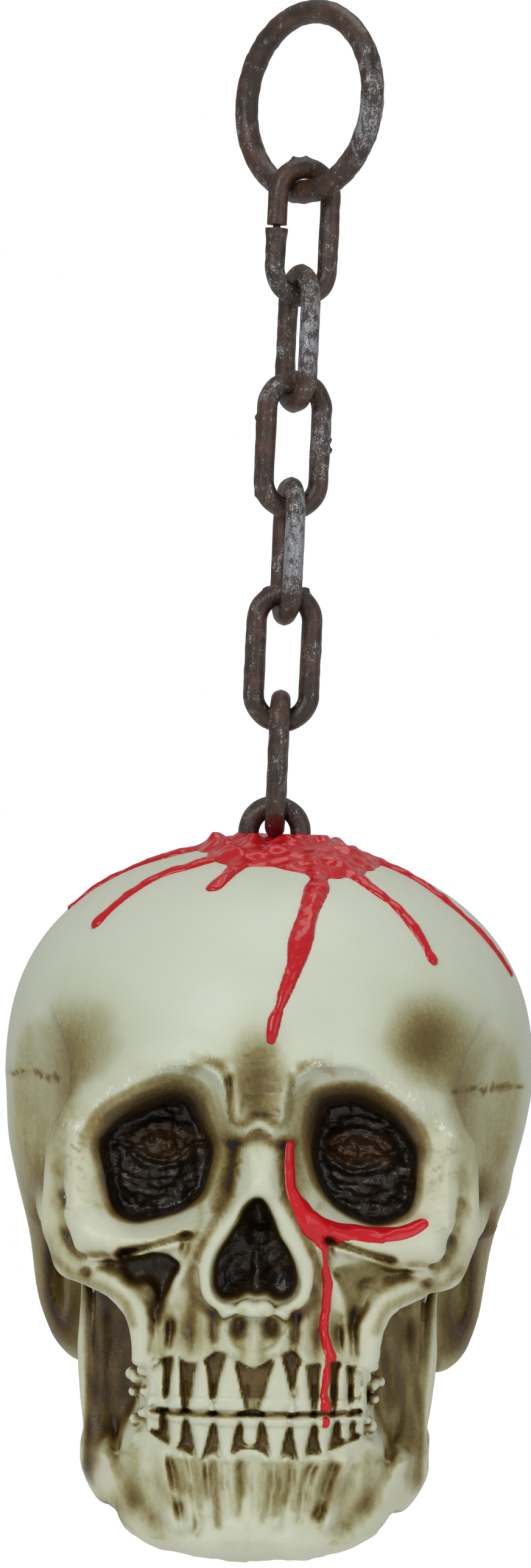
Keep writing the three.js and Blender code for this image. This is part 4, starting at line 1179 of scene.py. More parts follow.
def paint(piece: bpy.types.Object, name: str, values: Array) -> None:
    """Keeps one number for each point of a piece, for its finish to read."""
    layer = piece.data.attributes.new(name, "FLOAT", "POINT")
    layer.data.foreach_set("value", np.ascontiguousarray(values, np.float32))


# Finishes

class Blend(Enum):
    """How a second colour goes over a first one."""

    MIX = "MIX"
    MULTIPLY = "MULTIPLY"


class Wire:
    """A socket that sums, products and other maths can be written with."""

    def __init__(self, nodes: "Nodes", socket: bpy.types.NodeSocket) -> None:
        self.nodes = nodes
        self.socket = socket

    def maths(self, operation: str, *others: "Wire | float", swap: bool = False,
              clamp: bool = False) -> "Wire":
        """Adds one Math node for this socket and the others."""
        values = [self, *others]
        if swap:
            values = values[::-1]
        settings = {"operation": operation, "use_clamp": clamp}
        return self.nodes.node("ShaderNodeMath", settings, dict(enumerate(values)))

    def __add__(self, other: "Wire | float") -> "Wire":
        return self.maths("ADD", other)

    def __sub__(self, other: "Wire | float") -> "Wire":
        return self.maths("SUBTRACT", other)

    def __mul__(self, other: "Wire | float") -> "Wire":
        return self.maths("MULTIPLY", other)

    def __rsub__(self, other: float) -> "Wire":
        return self.maths("SUBTRACT", other, swap=True)

    __radd__ = __add__

    def clamped(self) -> "Wire":
        """The value between 0 and 1."""
        return self.maths("ADD", 0.0, clamp=True)

    def larger(self, other: "Wire | float") -> "Wire":
        """The larger of two values."""
        return self.maths("MAXIMUM", other)

    def between(self, low: float, high: float) -> "Wire":
        """Rises from 0 at low to 1 at high with level ends."""
        settings = {"interpolation_type": "SMOOTHSTEP", "clamp": True}
        values = {"Value": self, "From Min": low, "From Max": high}
        return self.nodes.node("ShaderNodeMapRange", settings, values)


class Nodes:
    """A node tree that is built node by node."""

    def __init__(self, tree: bpy.types.NodeTree) -> None:
        self.tree = tree
        self.tree.nodes.clear()

    def node(self, kind: str, settings: dict | None = None, values: dict | None = None,
             output: int | str = 0) -> Wire:
        """Adds a node.

        Args:
            kind: The node's type.
            settings: What is set on the node itself, first.
            values: What goes into its sockets, by name or number: numbers, colours or wires.
            output: The output that is wanted.

        Returns:
            The wire from that output.
        """
        node = self.tree.nodes.new(kind)
        for key, value in (settings or {}).items():
            setattr(node, key, value)
        for key, value in (values or {}).items():
            self.feed(node.inputs[key], value)
        return Wire(self, node.outputs[output])

    def feed(self, socket: bpy.types.NodeSocket, value: "Wire | float | Sequence[float]") -> None:
        """Links or sets one socket."""
        if isinstance(value, Wire):
            self.tree.links.new(value.socket, socket)
        else:
            socket.default_value = value


class Finish(Nodes):
    """A material round one Principled shader."""

    def __init__(self, name: str) -> None:
        self.material = bpy.data.materials.new(name)
        self.material.use_nodes = True
        super().__init__(self.material.node_tree)
        self.output = self.tree.nodes.new("ShaderNodeOutputMaterial")
        self.shader = self.tree.nodes.new("ShaderNodeBsdfPrincipled")
        self.tree.links.new(self.shader.outputs[0], self.output.inputs[0])

    def set(self, **values: "Wire | float | Sequence[float]") -> None:
        """Feeds the shader's own sockets, named with underscores for spaces."""
        for key, value in values.items():
            self.feed(self.shader.inputs[key.replace("_", " ")], value)

    def noise(self, scale: float, detail: float = 3, roughness: float = 0.5,
              stretch: Sequence[float] = (1, 1, 1)) -> Wire:
        """Fractal noise on the object; the scale counts bumps in a metre."""
        place = self.node("ShaderNodeTexCoord", output="Object")
        place = self.node("ShaderNodeMapping", {"vector_type": "POINT"},
                          {"Vector": place, "Scale": tuple(stretch)})
        values = {"Vector": place, "Scale": scale, "Detail": detail, "Roughness": roughness}
        return self.node("ShaderNodeTexNoise", {"noise_dimensions": "3D"}, values)

    def attribute(self, name: str) -> Wire:
        """Numbers that were painted on the piece."""
        settings = {"attribute_type": "GEOMETRY", "attribute_name": name}
        return self.node("ShaderNodeAttribute", settings, output="Fac")

    def ramp(self, value: Wire, stops: Sequence[tuple[float, Colour]]) -> Wire:
        """Colours along a value; each stop has a place and a colour as seen, 0 to 255."""
        node = self.tree.nodes.new("ShaderNodeValToRGB")
        elements = node.color_ramp.elements
        while len(elements) > 1:
            elements.remove(elements[-1])
        elements[0].position, elements[0].color = stops[0][0], seen(stops[0][1])
        for place, colour in stops[1:]:
            elements.new(place).color = seen(colour)
        self.feed(node.inputs[0], value)
        return Wire(self, node.outputs[0])

    def mix(self, share: Wire | float, first: "Wire | Sequence[float]",
            second: "Wire | Sequence[float]", way: Blend = Blend.MIX) -> Wire:
        """Mixes two colours by a share."""
        settings = {"data_type": "RGBA", "blend_type": way.value}
        return self.node("ShaderNodeMix", settings, {0: share, 6: first, 7: second}, 2)

    def bump(self, height: Wire, depth: float) -> Wire:
        """A bump of some depth in metres for a height of 0 to 1."""
        values = {"Height": height, "Distance": depth, "Strength": 1.0}
        return self.node("ShaderNodeBump", {}, values)


def seen(colour: Iterable[float]) -> Rgba:
    """A colour as seen, 0 to 255, as the linear values that Blender works in."""
    parts = [c / 255 for c in colour]
    linear = [p / 12.92 if p <= 0.04045 else ((p + 0.055) / 1.055) ** 2.4 for p in parts]
    return (*linear, 1.0)


def toned(colour: Colour, much: float) -> Rgba:
    """A colour as seen, lightened or darkened first."""
    return seen([c * much for c in colour])


@dataclass(frozen=True)
class BoneFinish:
    """Pale plastic bone with a dark wash in its hollows, some painted shade and white wear on its
    ridges.
    """

    dome: Colour = (196, 202, 184)
    face: Colour = (200, 203, 181)
    worn: Colour = (222, 226, 216)
    skin: Colour = (52, 38, 22)
    flake: Colour = (104, 72, 36)
    roughness: float = 0.42
    specular: float = 0.38
    grain_depth: float = 0.0003
    # The colour of the wash and the painted shade over the bone, from bare bone to the blackest
    # hollows.
    stain: tuple[tuple[float, Colour], ...] = (
        (0.0, (255, 255, 255)), (0.1, (247, 246, 238)), (0.22, (212, 205, 178)),
        (0.36, (172, 154, 108)), (0.5, (134, 110, 60)), (0.66, (98, 75, 34)),
        (0.82, (62, 43, 18)), (1.0, (34, 22, 9)),
    )

    def build(self) -> bpy.types.Material:
        """Makes the material."""
        make = Finish("aged_bone")
        wash_and_shade, warm, rub, eye = (make.attribute(name) for name in ("wash_and_shade", "warm", "rub", "eye"))
        streak = make.noise(360, 4, 0.6, (1, 1, 0.2))
        fleck = make.noise(800, 3, 0.65)
        cloud = make.noise(70, 4, 0.55)
        body = make.mix(warm, seen(self.dome), seen(self.face))
        depth = (wash_and_shade + (streak - 0.5) * 0.2 * wash_and_shade.between(0.02, 0.3) * (warm * 0.85 + 0.15)
                 + (fleck - 0.5) * 0.2 * wash_and_shade.between(0.05, 0.4) + (cloud - 0.5) * 0.14)
        colour = make.mix(1.0, body, make.ramp(depth.clamped(), self.stain), Blend.MULTIPLY)
        withered = make.noise(230, 4, 0.6, (1, 1, 1.8))
        colour = make.mix(eye.clamped(), colour, self.hide(make, withered, eye))
        grain = make.noise(1100, 4, 0.75, (1, 1, 0.55)) + (make.noise(220, 2, 0.5) - 0.5) * 0.4
        flecks = (grain + rub * 0.3).between(0.84, 0.9) * rub.between(0.05, 0.3)
        colour = make.mix(flecks * 0.8, colour, seen(self.worn))
        dark = depth.between(0.45, 0.85)
        roughness = self.roughness - dark * 0.04 - eye.clamped() * 0.12
        height = fleck * 0.4 + streak * dark + withered * eye * 2
        make.set(Base_Color=colour, Roughness=roughness, Specular_IOR_Level=self.specular,
                 Normal=make.bump(height, self.grain_depth))
        return make.material

    def hide(self, make: Finish, withered: Wire, eye: Wire) -> Wire:
        """The colour of the withered skin, flaked and lighter on the lids."""
        flakes = (withered + (make.noise(700, 3, 0.6) - 0.5) * 0.5).between(0.56, 0.68)
        hide = make.mix(flakes, toned(self.skin, 0.55), toned(self.skin, 1.15))
        lid = eye.between(1.2, 1.7)
        hide = make.mix(lid * 0.4, hide, toned(self.flake, 0.7))
        return make.mix(flakes * (lid * 0.8 + 0.1), hide, seen(self.flake))


@dataclass(frozen=True)
class ChainFinish:
    """Brown moulded plastic with silver paint that has mostly worn off."""

    base: Colour = (70, 46, 30)
    dark: Colour = (45, 30, 21)
    dusty: Colour = (104, 96, 90)
    silver: Colour = (150, 153, 158)
    stain: Colour = (86, 14, 16)
    roughness: float = 0.36
    metal: float = 0.5
    grain_depth: float = 0.00025

    def build(self) -> bpy.types.Material:
        """Makes the material."""
        make = Finish("worn_chain")
        worn = make.attribute("worn")
        patch = make.noise(300, 5, 0.65)
        streak = make.noise(900, 3, 0.65, (1, 1, 0.35))
        spark = make.noise(2400, 2, 0.6)
        cover = (patch * 0.42 + streak * 0.4 + spark * 0.4 + worn * 0.085).between(0.69, 0.76)
        haze = (patch + worn * 0.3).between(0.6, 1.0) * 0.22
        cloud = make.noise(150, 3, 0.5).between(0.35, 0.65)
        shade = make.mix(cloud, seen(self.dark), seen(self.base))
        shade = make.mix(haze, shade, seen(self.dusty))
        shade = make.mix(make.attribute("stained"), shade, seen(self.stain))
        make.set(Base_Color=make.mix(cover * 0.9, shade, seen(self.silver)),
                 Roughness=self.roughness - cover * 0.06, Metallic=cover * self.metal,
                 Normal=make.bump(streak + cover * 0.5 + patch * 0.5, self.grain_depth))
        return make.material


@dataclass(frozen=True)
class BloodFinish:
    """Thick glossy red glue."""

    thin: Colour = (208, 20, 32)
    thick: Colour = (182, 10, 20)
    crown: Colour = (158, 6, 14)
    frosted: Colour = (226, 150, 150)
    roughness: float = 0.26
    specular: float = 0.22
    coat: float = 0.35
    coat_roughness: float = 0.04
    grain_depth: float = 0.00015

    def build(self) -> bpy.types.Material:
        """Makes the material."""
        make = Finish("red_glue")
        cloud = make.noise(160, 3, 0.5)
        crown = make.attribute("haze")
        haze = make.noise(240, 4, 0.6, (1, 0.5, 1)).between(0.6, 0.72) * crown
        colour = make.mix(cloud, seen(self.thick), seen(self.thin))
        colour = make.mix(crown * 0.4, colour, seen(self.crown))
        colour = make.mix(haze * 0.25, colour, seen(self.frosted))
        make.set(Base_Color=colour, Roughness=self.roughness + haze * 0.3,
                 Specular_IOR_Level=self.specular, Coat_Weight=self.coat,
                 Coat_Roughness=self.coat_roughness,
                 Normal=make.bump(make.noise(300, 2, 0.5), self.grain_depth))
        return make.material


@dataclass(frozen=True)
class GlueFinish:
    """Set glue, out of sight inside the crown."""

    dull: Colour = (196, 190, 170)
    clear: Colour = (220, 215, 200)
    roughness: float = 0.3

    def build(self) -> bpy.types.Material:
        """Makes the material."""
        make = Finish("set_glue")
        colour = make.mix(make.noise(300, 2), seen(self.dull), seen(self.clear))
        make.set(Base_Color=colour, Roughness=self.roughness)
        return make.material


def dress(piece: bpy.types.Object, material: bpy.types.Material) -> None:
    """Gives a piece one material all over."""
    piece.data.materials.clear()
    piece.data.materials.append(material)


@dataclass
class BoneColours:
    """Where the dark wash and the painted shade lie, where the bone is warm and where it is rubbed,
    point by point.
    """

    skull: Skull
    sculpt: Sculpt

    # How far out each reading is taken, and how much it counts.
    reaches: tuple[Spot, ...] = ((1.4, 0.3), (3.2, 0.42), (7, 0.36), (14, 0.26))
    # Soft patches of the wash, and one of painted shadow low on the jaw's left: how dark, the
    # middle and the reach of each.
    patches: tuple[tuple[float, Place, Place], ...] = (
        (0.52, (45, -66, -53), (10.5, 30, 12)), (0.26, (-49, -62, -56), (11, 30, 12)),
        (0.3, (-2, -84, -64), (7, 14, 15)), (0.14, (-24, -80, -65), (12, 14, 4)),
        (0.26, (-18, -82, -134), (6, 14, 8)), (0.2, (19, -82, -134), (6, 14, 8)),
        # The first patch on this line is painted shadow on the jaw's lower left.
        (0.26, (-38, -62, -188), (7, 14, 5)), (0.12, (0, -82, -140), (22, 14, 8)),
        (0.31, (-50, -20, -150), (12, 20, 26)), (0.21, (50, -20, -150), (12, 20, 26)),
    )
    patches_of_both_sides: tuple[tuple[float, Place, Place], ...] = (
        (0.46, (57, -48, -74), (8, 20, 22)), (0.24, (69, -26, -78), (9, 26, 26)),
        (0.5, (64, -12, -118), (14, 24, 24)), (0.36, (58, 4, -142), (12, 20, 12)),
        (0.2, (56, -56, -114), (10, 12, 5)), (0.12, (20, -80, -178), (14, 14, 9)),
    )

    def creases(self, points: Array, way: Array) -> Array:
        """How far each point lies in a hollow or a drawn groove."""
        x, y, z = points.T
        total = np.zeros(len(points))
        mouth = smooth_step(-140, -143, z) * smooth_step(-172, -169, z) * smooth_step(-70, -76, y)
        for reach, weight in self.reaches:
            near = np.clip(1 - self.sculpt.sample(points + way * reach) / reach, 0, 1.3)
            total += weight * near ** 1.7 * (1 - 0.6 * mouth * (reach < 5))
        ahead = smooth_step(-50, -62, y) * smooth_step(-0.2, -0.6, way[:, 1])
        between = np.exp(-((x / 9) ** 4 + ((z + 67) / 10) ** 4))
        drawn = self.skull.front.read(x, z) * ahead * (1 - 0.55 * between)
        drawn = drawn * (1 - 0.6 * smooth_step(-170, -174, z))
        return total + (0.28 + 0.1 * mouth) * np.clip(drawn, 0, 1.4) - 0.12 * np.clip(-drawn, 0, 1)

    def wash_and_shade(self, points: Array, way: Array) -> Array:
        """How deep the wash and the painted shade lie, 0 on bare bone to 1 in the blackest hollows.
        """
        x, y, z = points.T
        face = smooth_step(-40, -66, z)
        jaw = smooth_step(-166, -178, z) * smooth_step(-60, -70, y)
        creases = self.creases(points, way)
        total = np.clip(creases * (0.16 + 0.84 * face) * (1 - 0.3 * jaw), 0, 0.6)
        facing = smooth_step(10, -5, y) * smooth_step(0.2, -0.1, way[:, 1])
        total += self.brushed(x, y, z) + self.skull.ink_and_shade.read(x, z) * facing
        for outline, side in self.skull.sockets():
            self.wash_and_shade_socket(total, points, outline, side)
        self.wash_nose(total, points)
        self.wash_cheeks(total, points)
        self.wash_recess(total, points)
        return np.clip(total, 0, 1.1)

    def wash_and_shade_socket(self, total: Array, points: Array, outline: tuple[Spot, ...],
                    side: int) -> None:
        """Darkens one orbit towards its floor, paints shade on its roof under the brow, and lays a
        brown band round its rim.
        """
        x, y, z = points.T
        flat = rim_distance(x, z, outline)
        ahead = y < -40
        run = np.clip(-flat / self.skull.inset(x, z, side), 0, 1) * ahead
        inside = smooth_step(0.6, -0.8, flat) * ahead
        # The last term darkens the roof under the brow: painted shade.
        bevel = 0.24 + 0.5 * run + 0.26 * smooth_step(-88, -74, z)
        total += inside * smooth_step(-85.5, -82, y) * np.clip(bevel - total, 0, 1)
        deep = inside * smooth_step(0.7, 1, run) * smooth_step(-82, -74, y)
        total += deep * (0.9 + 0.08 * wave_noise(x, y, z, 5, 61) - total)
        inner = smooth_step(17, 11, side * x) * smooth_step(-104, -94, z)
        inner = inner * smooth_step(5.2, 3, flat)
        upper = smooth_step(-92, -80, z) * smooth_step(2.4 - side * 0.8, 1.2 - side * 0.6, flat)
        band = np.maximum(upper, inner) * ahead * (1 - inside)
        total += band * np.clip(0.34 + 0.03 * np.clip(-flat, -5, 0) - total * 0.5, 0, 1)

    def wash_nose(self, total: Array, points: Array) -> None:
        """Darkens the opening of the nose."""
        x, y, z = points.T
        flat = rim_distance(x, z, self.skull.nose_opening)
        deep = smooth_step(1, -1.6, flat) * smooth_step(-86, -78, y) * (y < -50)
        total += deep * (0.88 - total)

    def wash_cheeks(self, total: Array, points: Array) -> None:
        """Darkens the hollows under the cheekbones."""
        x, y, z = points.T
        for outline, tone in ((self.skull.left_cheek_hollow, 0.8),
                              (self.skull.right_cheek_hollow, 0.42)):
            deep = smooth_step(1, -3, rim_distance(x, z, outline)) * smooth_step(-82, -75, y)
            total += deep * (y < -45) * np.clip(tone - total, 0, 1)

    @staticmethod
    def wash_recess(total: Array, points: Array) -> None:
        """Tones the recess between the tooth rows and the branch of the jaw."""
        x, y, z = points.T
        recess = smooth_step(-66, -56, y) * (y < -44) * smooth_step(-118, -128, z)
        recess = recess * smooth_step(-184, -176, z)
        recess *= smooth_step(31, 34, np.abs(x)) * smooth_step(49, 46.6, np.abs(x))
        right = x > 0
        tone = 0.43 - 0.05 * right + 0.1 * wave_noise(x, y * 0.5, z * 0.3, 4, 29)
        tone = tone + (0.26 - 0.16 * right) * smooth_step(-60, -52, y)
        total += recess * (tone - total)

    def eye(self, points: Array) -> Array:
        """1 on the withered skin in the orbits and the nose, 2 on the lids."""
        x, y, z = points.T
        total = np.zeros(len(points))
        for outline, side in self.skull.sockets():
            run = -rim_distance(x, z, outline) / self.skull.inset(x, z, side)
            inside = smooth_step(0.75, 1.25, run) * smooth_step(-78, -70, y) * (y < -40)
            lid = np.exp(-((np.abs(x - side * 27) / 10.6) ** 3 + (np.abs(z + 84.4) / 4.8) ** 3))
            total += inside * (1 + lid)
        flat = rim_distance(x, z, self.skull.nose_opening)
        total += smooth_step(0, -2.5, flat) * smooth_step(-80, -74, y) * (y < -50)
        return total

    def brushed(self, x: Array, y: Array, z: Array) -> Array:
        """Soft brushed patches of the wash on open bone, and one of painted shadow."""
        left = [(much, (-cx, cy, cz), half)
                for much, (cx, cy, cz), half in self.patches_of_both_sides]
        total = np.zeros(len(x))
        for much, (cx, cy, cz), (rx, ry, rz) in (*self.patches, *left, *self.patches_of_both_sides):
            gap = ((x - cx) / rx) ** 2 + ((y - cy) / ry) ** 2 + ((z - cz) / rz) ** 2
            total += much * np.exp(-gap)
        return total

    @staticmethod
    def warm(points: Array) -> Array:
        """From the cool dome to the warm face."""
        _, y, z = points.T
        return smooth_step(-52, -92, z) * smooth_step(30, -30, y)

    @staticmethod
    def rub(points: Array) -> Array:
        """Where the paint is rubbed off in flecks, 0 to 1."""
        x, y, z = points.T
        total = np.zeros(len(points))
        brow = [(14, -60), (20, -61), (30, -63.4), (40, -68), (47, -74), (52, -80)]
        temple = [(60, -48), (58.6, -56), (56, -66), (55, -80), (55, -100)]
        for side in SIDES:
            for line, wide, much in ((brow, 2.2, 1.0), (temple, 3, 0.7 if side < 0 else 0.3)):
                drawn = smooth_line([(side * a, b) for a, b in line])
                total += much * np.exp(-(line_distance(x, z, drawn) / wide) ** 2)
        return np.clip(total * smooth_step(-30, -45, y), 0, 1)

    def paint_on(self, piece: bpy.types.Object, points: Array) -> None:
        """Paints every point of the skull's piece with the numbers that its finish reads."""
        way = self.sculpt.slope(points, 0.6)
        way /= np.maximum(np.linalg.norm(way, axis=1), 1e-6)[:, None]
        paint(piece, "wash_and_shade", self.wash_and_shade(points, way))
        paint(piece, "warm", self.warm(points))
        paint(piece, "rub", self.rub(points))
        paint(piece, "eye", self.eye(points))


# The chain

@dataclass(frozen=True)
class Loop:
    """One loop of round wire, with lengths in millimetres.

    Args:
        node: The solid that it replaces.
        body: The body that it rides on.
        centre: Its middle's height in the frame.
        turn: Its turn about the upright in degrees.
        wear: Where the paint lasts, as shares of a turn from +X, and how well.
        length: Its outer length.
        width: Its outer width.
        wire: The wire's thickness.
        nibs: Small points, each with its share of a turn, its angle round the wire and its height.
        split: Whether its left leg is cut and joined by a bit of flash.
        foot: The height that its legs are cut off at, or 0.
        stained: Whether the red glue has run onto it.
        segments: How many steps it has along the wire and round it.
        wear_spread: How far a worn place reaches, as a squared share of a turn.
        nib_reach: How far a nib reaches, as a share of a turn and as an angle round the wire.
        split_height: The split's height above the loop's middle.
        flash: Radius and length of the bit of flash in the split.
    """

    node: str
    body: str
    centre: float
    turn: float
    wear: tuple[Spot, ...]
    length: float = 43
    width: float = 22
    wire: float = 6
    nibs: tuple[tuple[float, float, float], ...] = ()
    split: bool = False
    foot: float = 0
    stained: bool = False
    segments: tuple[int, int] = (132, 30)
    wear_spread: float = 0.006
    nib_reach: Spot = (0.007, 0.3)
    split_height: float = 1
    flash: Spot = (1.1, 1.6)

    def build(self) -> bpy.types.Object:
        """Makes the loop.

        Returns:
            The piece at its place in the frame.
        """
        bend, half = (self.width - self.wire) / 2, (self.length - self.width) / 2
        bpy.ops.object.select_all(action="DESELECT")
        around, across = self.segments
        bpy.ops.mesh.primitive_torus_add(major_radius=bend, minor_radius=self.wire / 2,
                                         major_segments=around, minor_segments=across,
                                         rotation=(math.pi / 2, 0, 0))
        piece = bpy.context.object
        piece.name = f"{self.node}_wire"
        bpy.ops.object.transform_apply(location=False, rotation=True, scale=False)
        flat = np.empty(len(piece.data.vertices) * 3)
        piece.data.vertices.foreach_get("co", flat)
        x, y, z = flat.reshape(-1, 3).T
        share = np.arctan2(z, x) / (2 * math.pi) % 1
        out = np.hypot(x, z) - bend
        swell = self.relief(share, np.arctan2(y, out), x, y, z)
        (cx, cz), (nx, nz) = self.path(share, bend, half)
        x, y, z = cx + nx * out * swell, y * swell, cz + nz * out * swell
        piece.data.vertices.foreach_set("co", np.stack([x, y, z], 1).ravel())
        worn = sum(much * np.exp(-self.gap(share, at) ** 2 / self.wear_spread)
                   for at, much in self.wear)
        paint(piece, "worn", worn)
        low = smooth_step(-13, -19, z + wave_noise(x, y, z, 3, 5))
        paint(piece, "stained", float(self.stained) * low)
        if self.split:
            middle = (-bend, 0, self.split_height)
            self.cut(piece, middle, (self.wire + 3, self.wire + 3, 1))
            self.join(piece, middle, *self.flash)
        if self.foot:
            self.cut(piece, (0, 0, self.foot - 40), (60, 40, 80))
        hang = Matrix.Scale(MILLIMETRE, 4) @ Matrix.Translation((0, 0, self.centre))
        piece.data.transform(hang @ Matrix.Rotation(math.radians(self.turn), 4, "Z"))
        piece.data.shade_smooth()
        bpy.ops.object.select_all(action="DESELECT")
        return piece

    @staticmethod
    def gap(share: Array, at: float) -> Array:
        """How far shares of the loop lie from one of them, the shorter way round."""
        return (share - at + 0.5) % 1 - 0.5

    @staticmethod
    def path(share: Array, bend: float, half: float) -> tuple[Sequence[Array], Sequence[Array]]:
        """The wire's middle line and its outward direction at shares of the loop."""
        arc = math.pi * bend
        total = 2 * arc + 4 * half
        run = share * total % total
        low = run > total / 2
        run = np.where(low, run - total / 2, run)
        angle = np.clip((run - half) / bend, 0, math.pi)
        side = np.where(run < half, run, np.where(run > half + arc, total / 2 - run, half))
        nx, nz = np.cos(angle), np.sin(angle)
        cx, cz = bend * nx, bend * nz + side
        sign = np.where(low, -1, 1)
        return (cx * sign, cz * sign), (nx * sign, nz * sign)

    def relief(self, share: Array, around: Array, x: Array, y: Array, z: Array) -> Array:
        """How thick the wire is: its waves, the mould's seam, nibs and the split's bulge."""
        seed = len(self.node) + int(abs(self.centre))
        swell = 0.95 + 0.03 * wave_noise(x * 1.5, y, z * 1.5, 5, seed)
        swell += 0.05 * np.exp(-(np.sin(around) / 0.12) ** 2)
        for at, turn, tall in self.nibs:
            along, across = self.gap(share, at), np.angle(np.exp(1j * (around - turn)))
            nib = -(along / self.nib_reach[0]) ** 2 - (across / self.nib_reach[1]) ** 2
            swell += tall / (self.wire / 2) * np.exp(nib)
        if self.split:
            below = (share > 0.49) & (share < 0.6)
            swell += 0.16 * np.exp(-((share - 0.5) / 0.025) ** 2) * below
        return swell

    @staticmethod
    def cut(piece: bpy.types.Object, centre: Place, size: Place) -> None:
        """Takes a box out of a piece."""
        bpy.ops.object.select_all(action="DESELECT")
        bpy.ops.mesh.primitive_cube_add(size=1, location=centre, scale=size)
        box = bpy.context.object
        bpy.context.view_layer.objects.active = piece
        cutter = piece.modifiers.new("cut", "BOOLEAN")
        cutter.object = box
        cutter.operation = "DIFFERENCE"
        bpy.ops.object.modifier_apply(modifier=cutter.name)
        bpy.data.objects.remove(box, do_unlink=True)

    @staticmethod
    def join(piece: bpy.types.Object, centre: Place, radius: float, depth: float) -> None:
        """Adds a short neck of flash to a piece."""
        bpy.ops.object.select_all(action="DESELECT")
        bpy.ops.mesh.primitive_cylinder_add(radius=radius, depth=depth, vertices=20,
                                            location=centre)
        piece.select_set(True)
        bpy.context.view_layer.objects.active = piece
        bpy.ops.object.join()


LOOPS = (
    Loop("hanging_ring", "ring", -22.5, -45, ((0.95, 1.1), (0.03, 0.6), (0.5, 0.35), (0.62, 0.4)),
         59, 59, 7),
    Loop("chain_link_1", "link_1", -60.2, 20, ((0.95, 0.7), (0.66, 0.6), (0.6, 0.4)),
         nibs=((0.28, 0, 0.9), (0.25, 0, 0.6), (0.53, 2.6, 0.7)), split=True),
    Loop("chain_link_2", "link_2", -90.9, -65,
         ((0.0, 1.2), (0.93, 0.9), (0.1, 0.9), (0.2, 0.5), (0.5, 0.5)),
         nibs=((0.45, 2.8, 0.7), (0.3, 0.4, 0.6))),
    Loop("chain_link_3", "link_3", -121.6, 12, ((0.33, 0.9), (0.08, 0.7), (0.97, 0.9), (0.62, 0.6)),
         nibs=((0.99, 0.2, 1.3), (0.02, -0.4, 0.7), (0.42, 0.3, 0.8), (0.65, 0.2, 0.6))),
    Loop("chain_link_4", "link_4", -152.3, -76,
         ((0.0, 1.3), (0.93, 1.1), (0.07, 1.2), (0.18, 0.8), (0.5, 0.5))),
    Loop("chain_link_5", "link_5", -183, 5, ((0.42, 0.5), (0.02, 0.4), (0.63, 0.5)),
         nibs=((0.2, 0.2, 1.4), (0.22, -0.3, 0.9), (0.3, 0.1, 0.5))),
    Loop("chain_link_6", "link_6", -213.7, -90, ((0.08, 0.6), (0.95, 0.4)), stained=True),
    Loop("crown_staple", "skull", -244.4, 0, ((0.33, 0.4), (0.15, 0.4)), width=21, foot=-3.5),
)


# Camera, light and floor

@dataclass(frozen=True)
class Eye:
    """The camera, from where the photograph was taken; lengths in millimetres."""

    aim: Place = (-3.25, 0, -219.67)
    distance: float = 1800
    azimuth: float = 1.2
    roll: float = 2.7
    lens: float = 143.3
    sensor: float = 36
    far_limit: float = 20000

    def build(self) -> None:
        """Makes the scene's camera."""
        data = bpy.data.cameras.new("camera")
        data.lens = self.lens
        data.sensor_width = self.sensor
        data.sensor_fit = "AUTO"
        data.clip_end = self.far_limit * MILLIMETRE
        camera = bpy.data.objects.new("camera", data)
        bpy.context.scene.collection.objects.link(camera)
        a, r = math.radians(self.azimuth), math.radians(self.roll)
        back = Vector((math.sin(a), -math.cos(a), 0))
        side = Vector((math.cos(a), math.sin(a), 0))
        rise = Vector((0, 0, 1))
        right = side * math.cos(r) + rise * math.sin(r)
        up = rise * math.cos(r) - side * math.sin(r)
        turn = Matrix((right, up, back)).transposed().to_4x4()
        place = (Vector(self.aim) + back * self.distance) * MILLIMETRE
        camera.matrix_world = Matrix.Translation(place) @ turn
        bpy.context.scene.camera = camera


@dataclass(frozen=True)
class Lamp:
    """One soft lamp, with its place and size in metres and its power in watts."""

    name: str
    place: Place
    size: Spot
    power: float

    def build(self, aim: Place) -> None:
        """Adds the lamp, turned to what it lights."""
        data = bpy.data.lights.new(self.name, "AREA")
        data.shape = "RECTANGLE"
        data.size, data.size_y = self.size
        data.energy = self.power
        lamp = bpy.data.objects.new(self.name, data)
        bpy.context.scene.collection.objects.link(lamp)
        lamp.location = self.place
        way = Vector(aim) - Vector(self.place)
        lamp.rotation_euler = way.to_track_quat("-Z", "Y").to_euler()


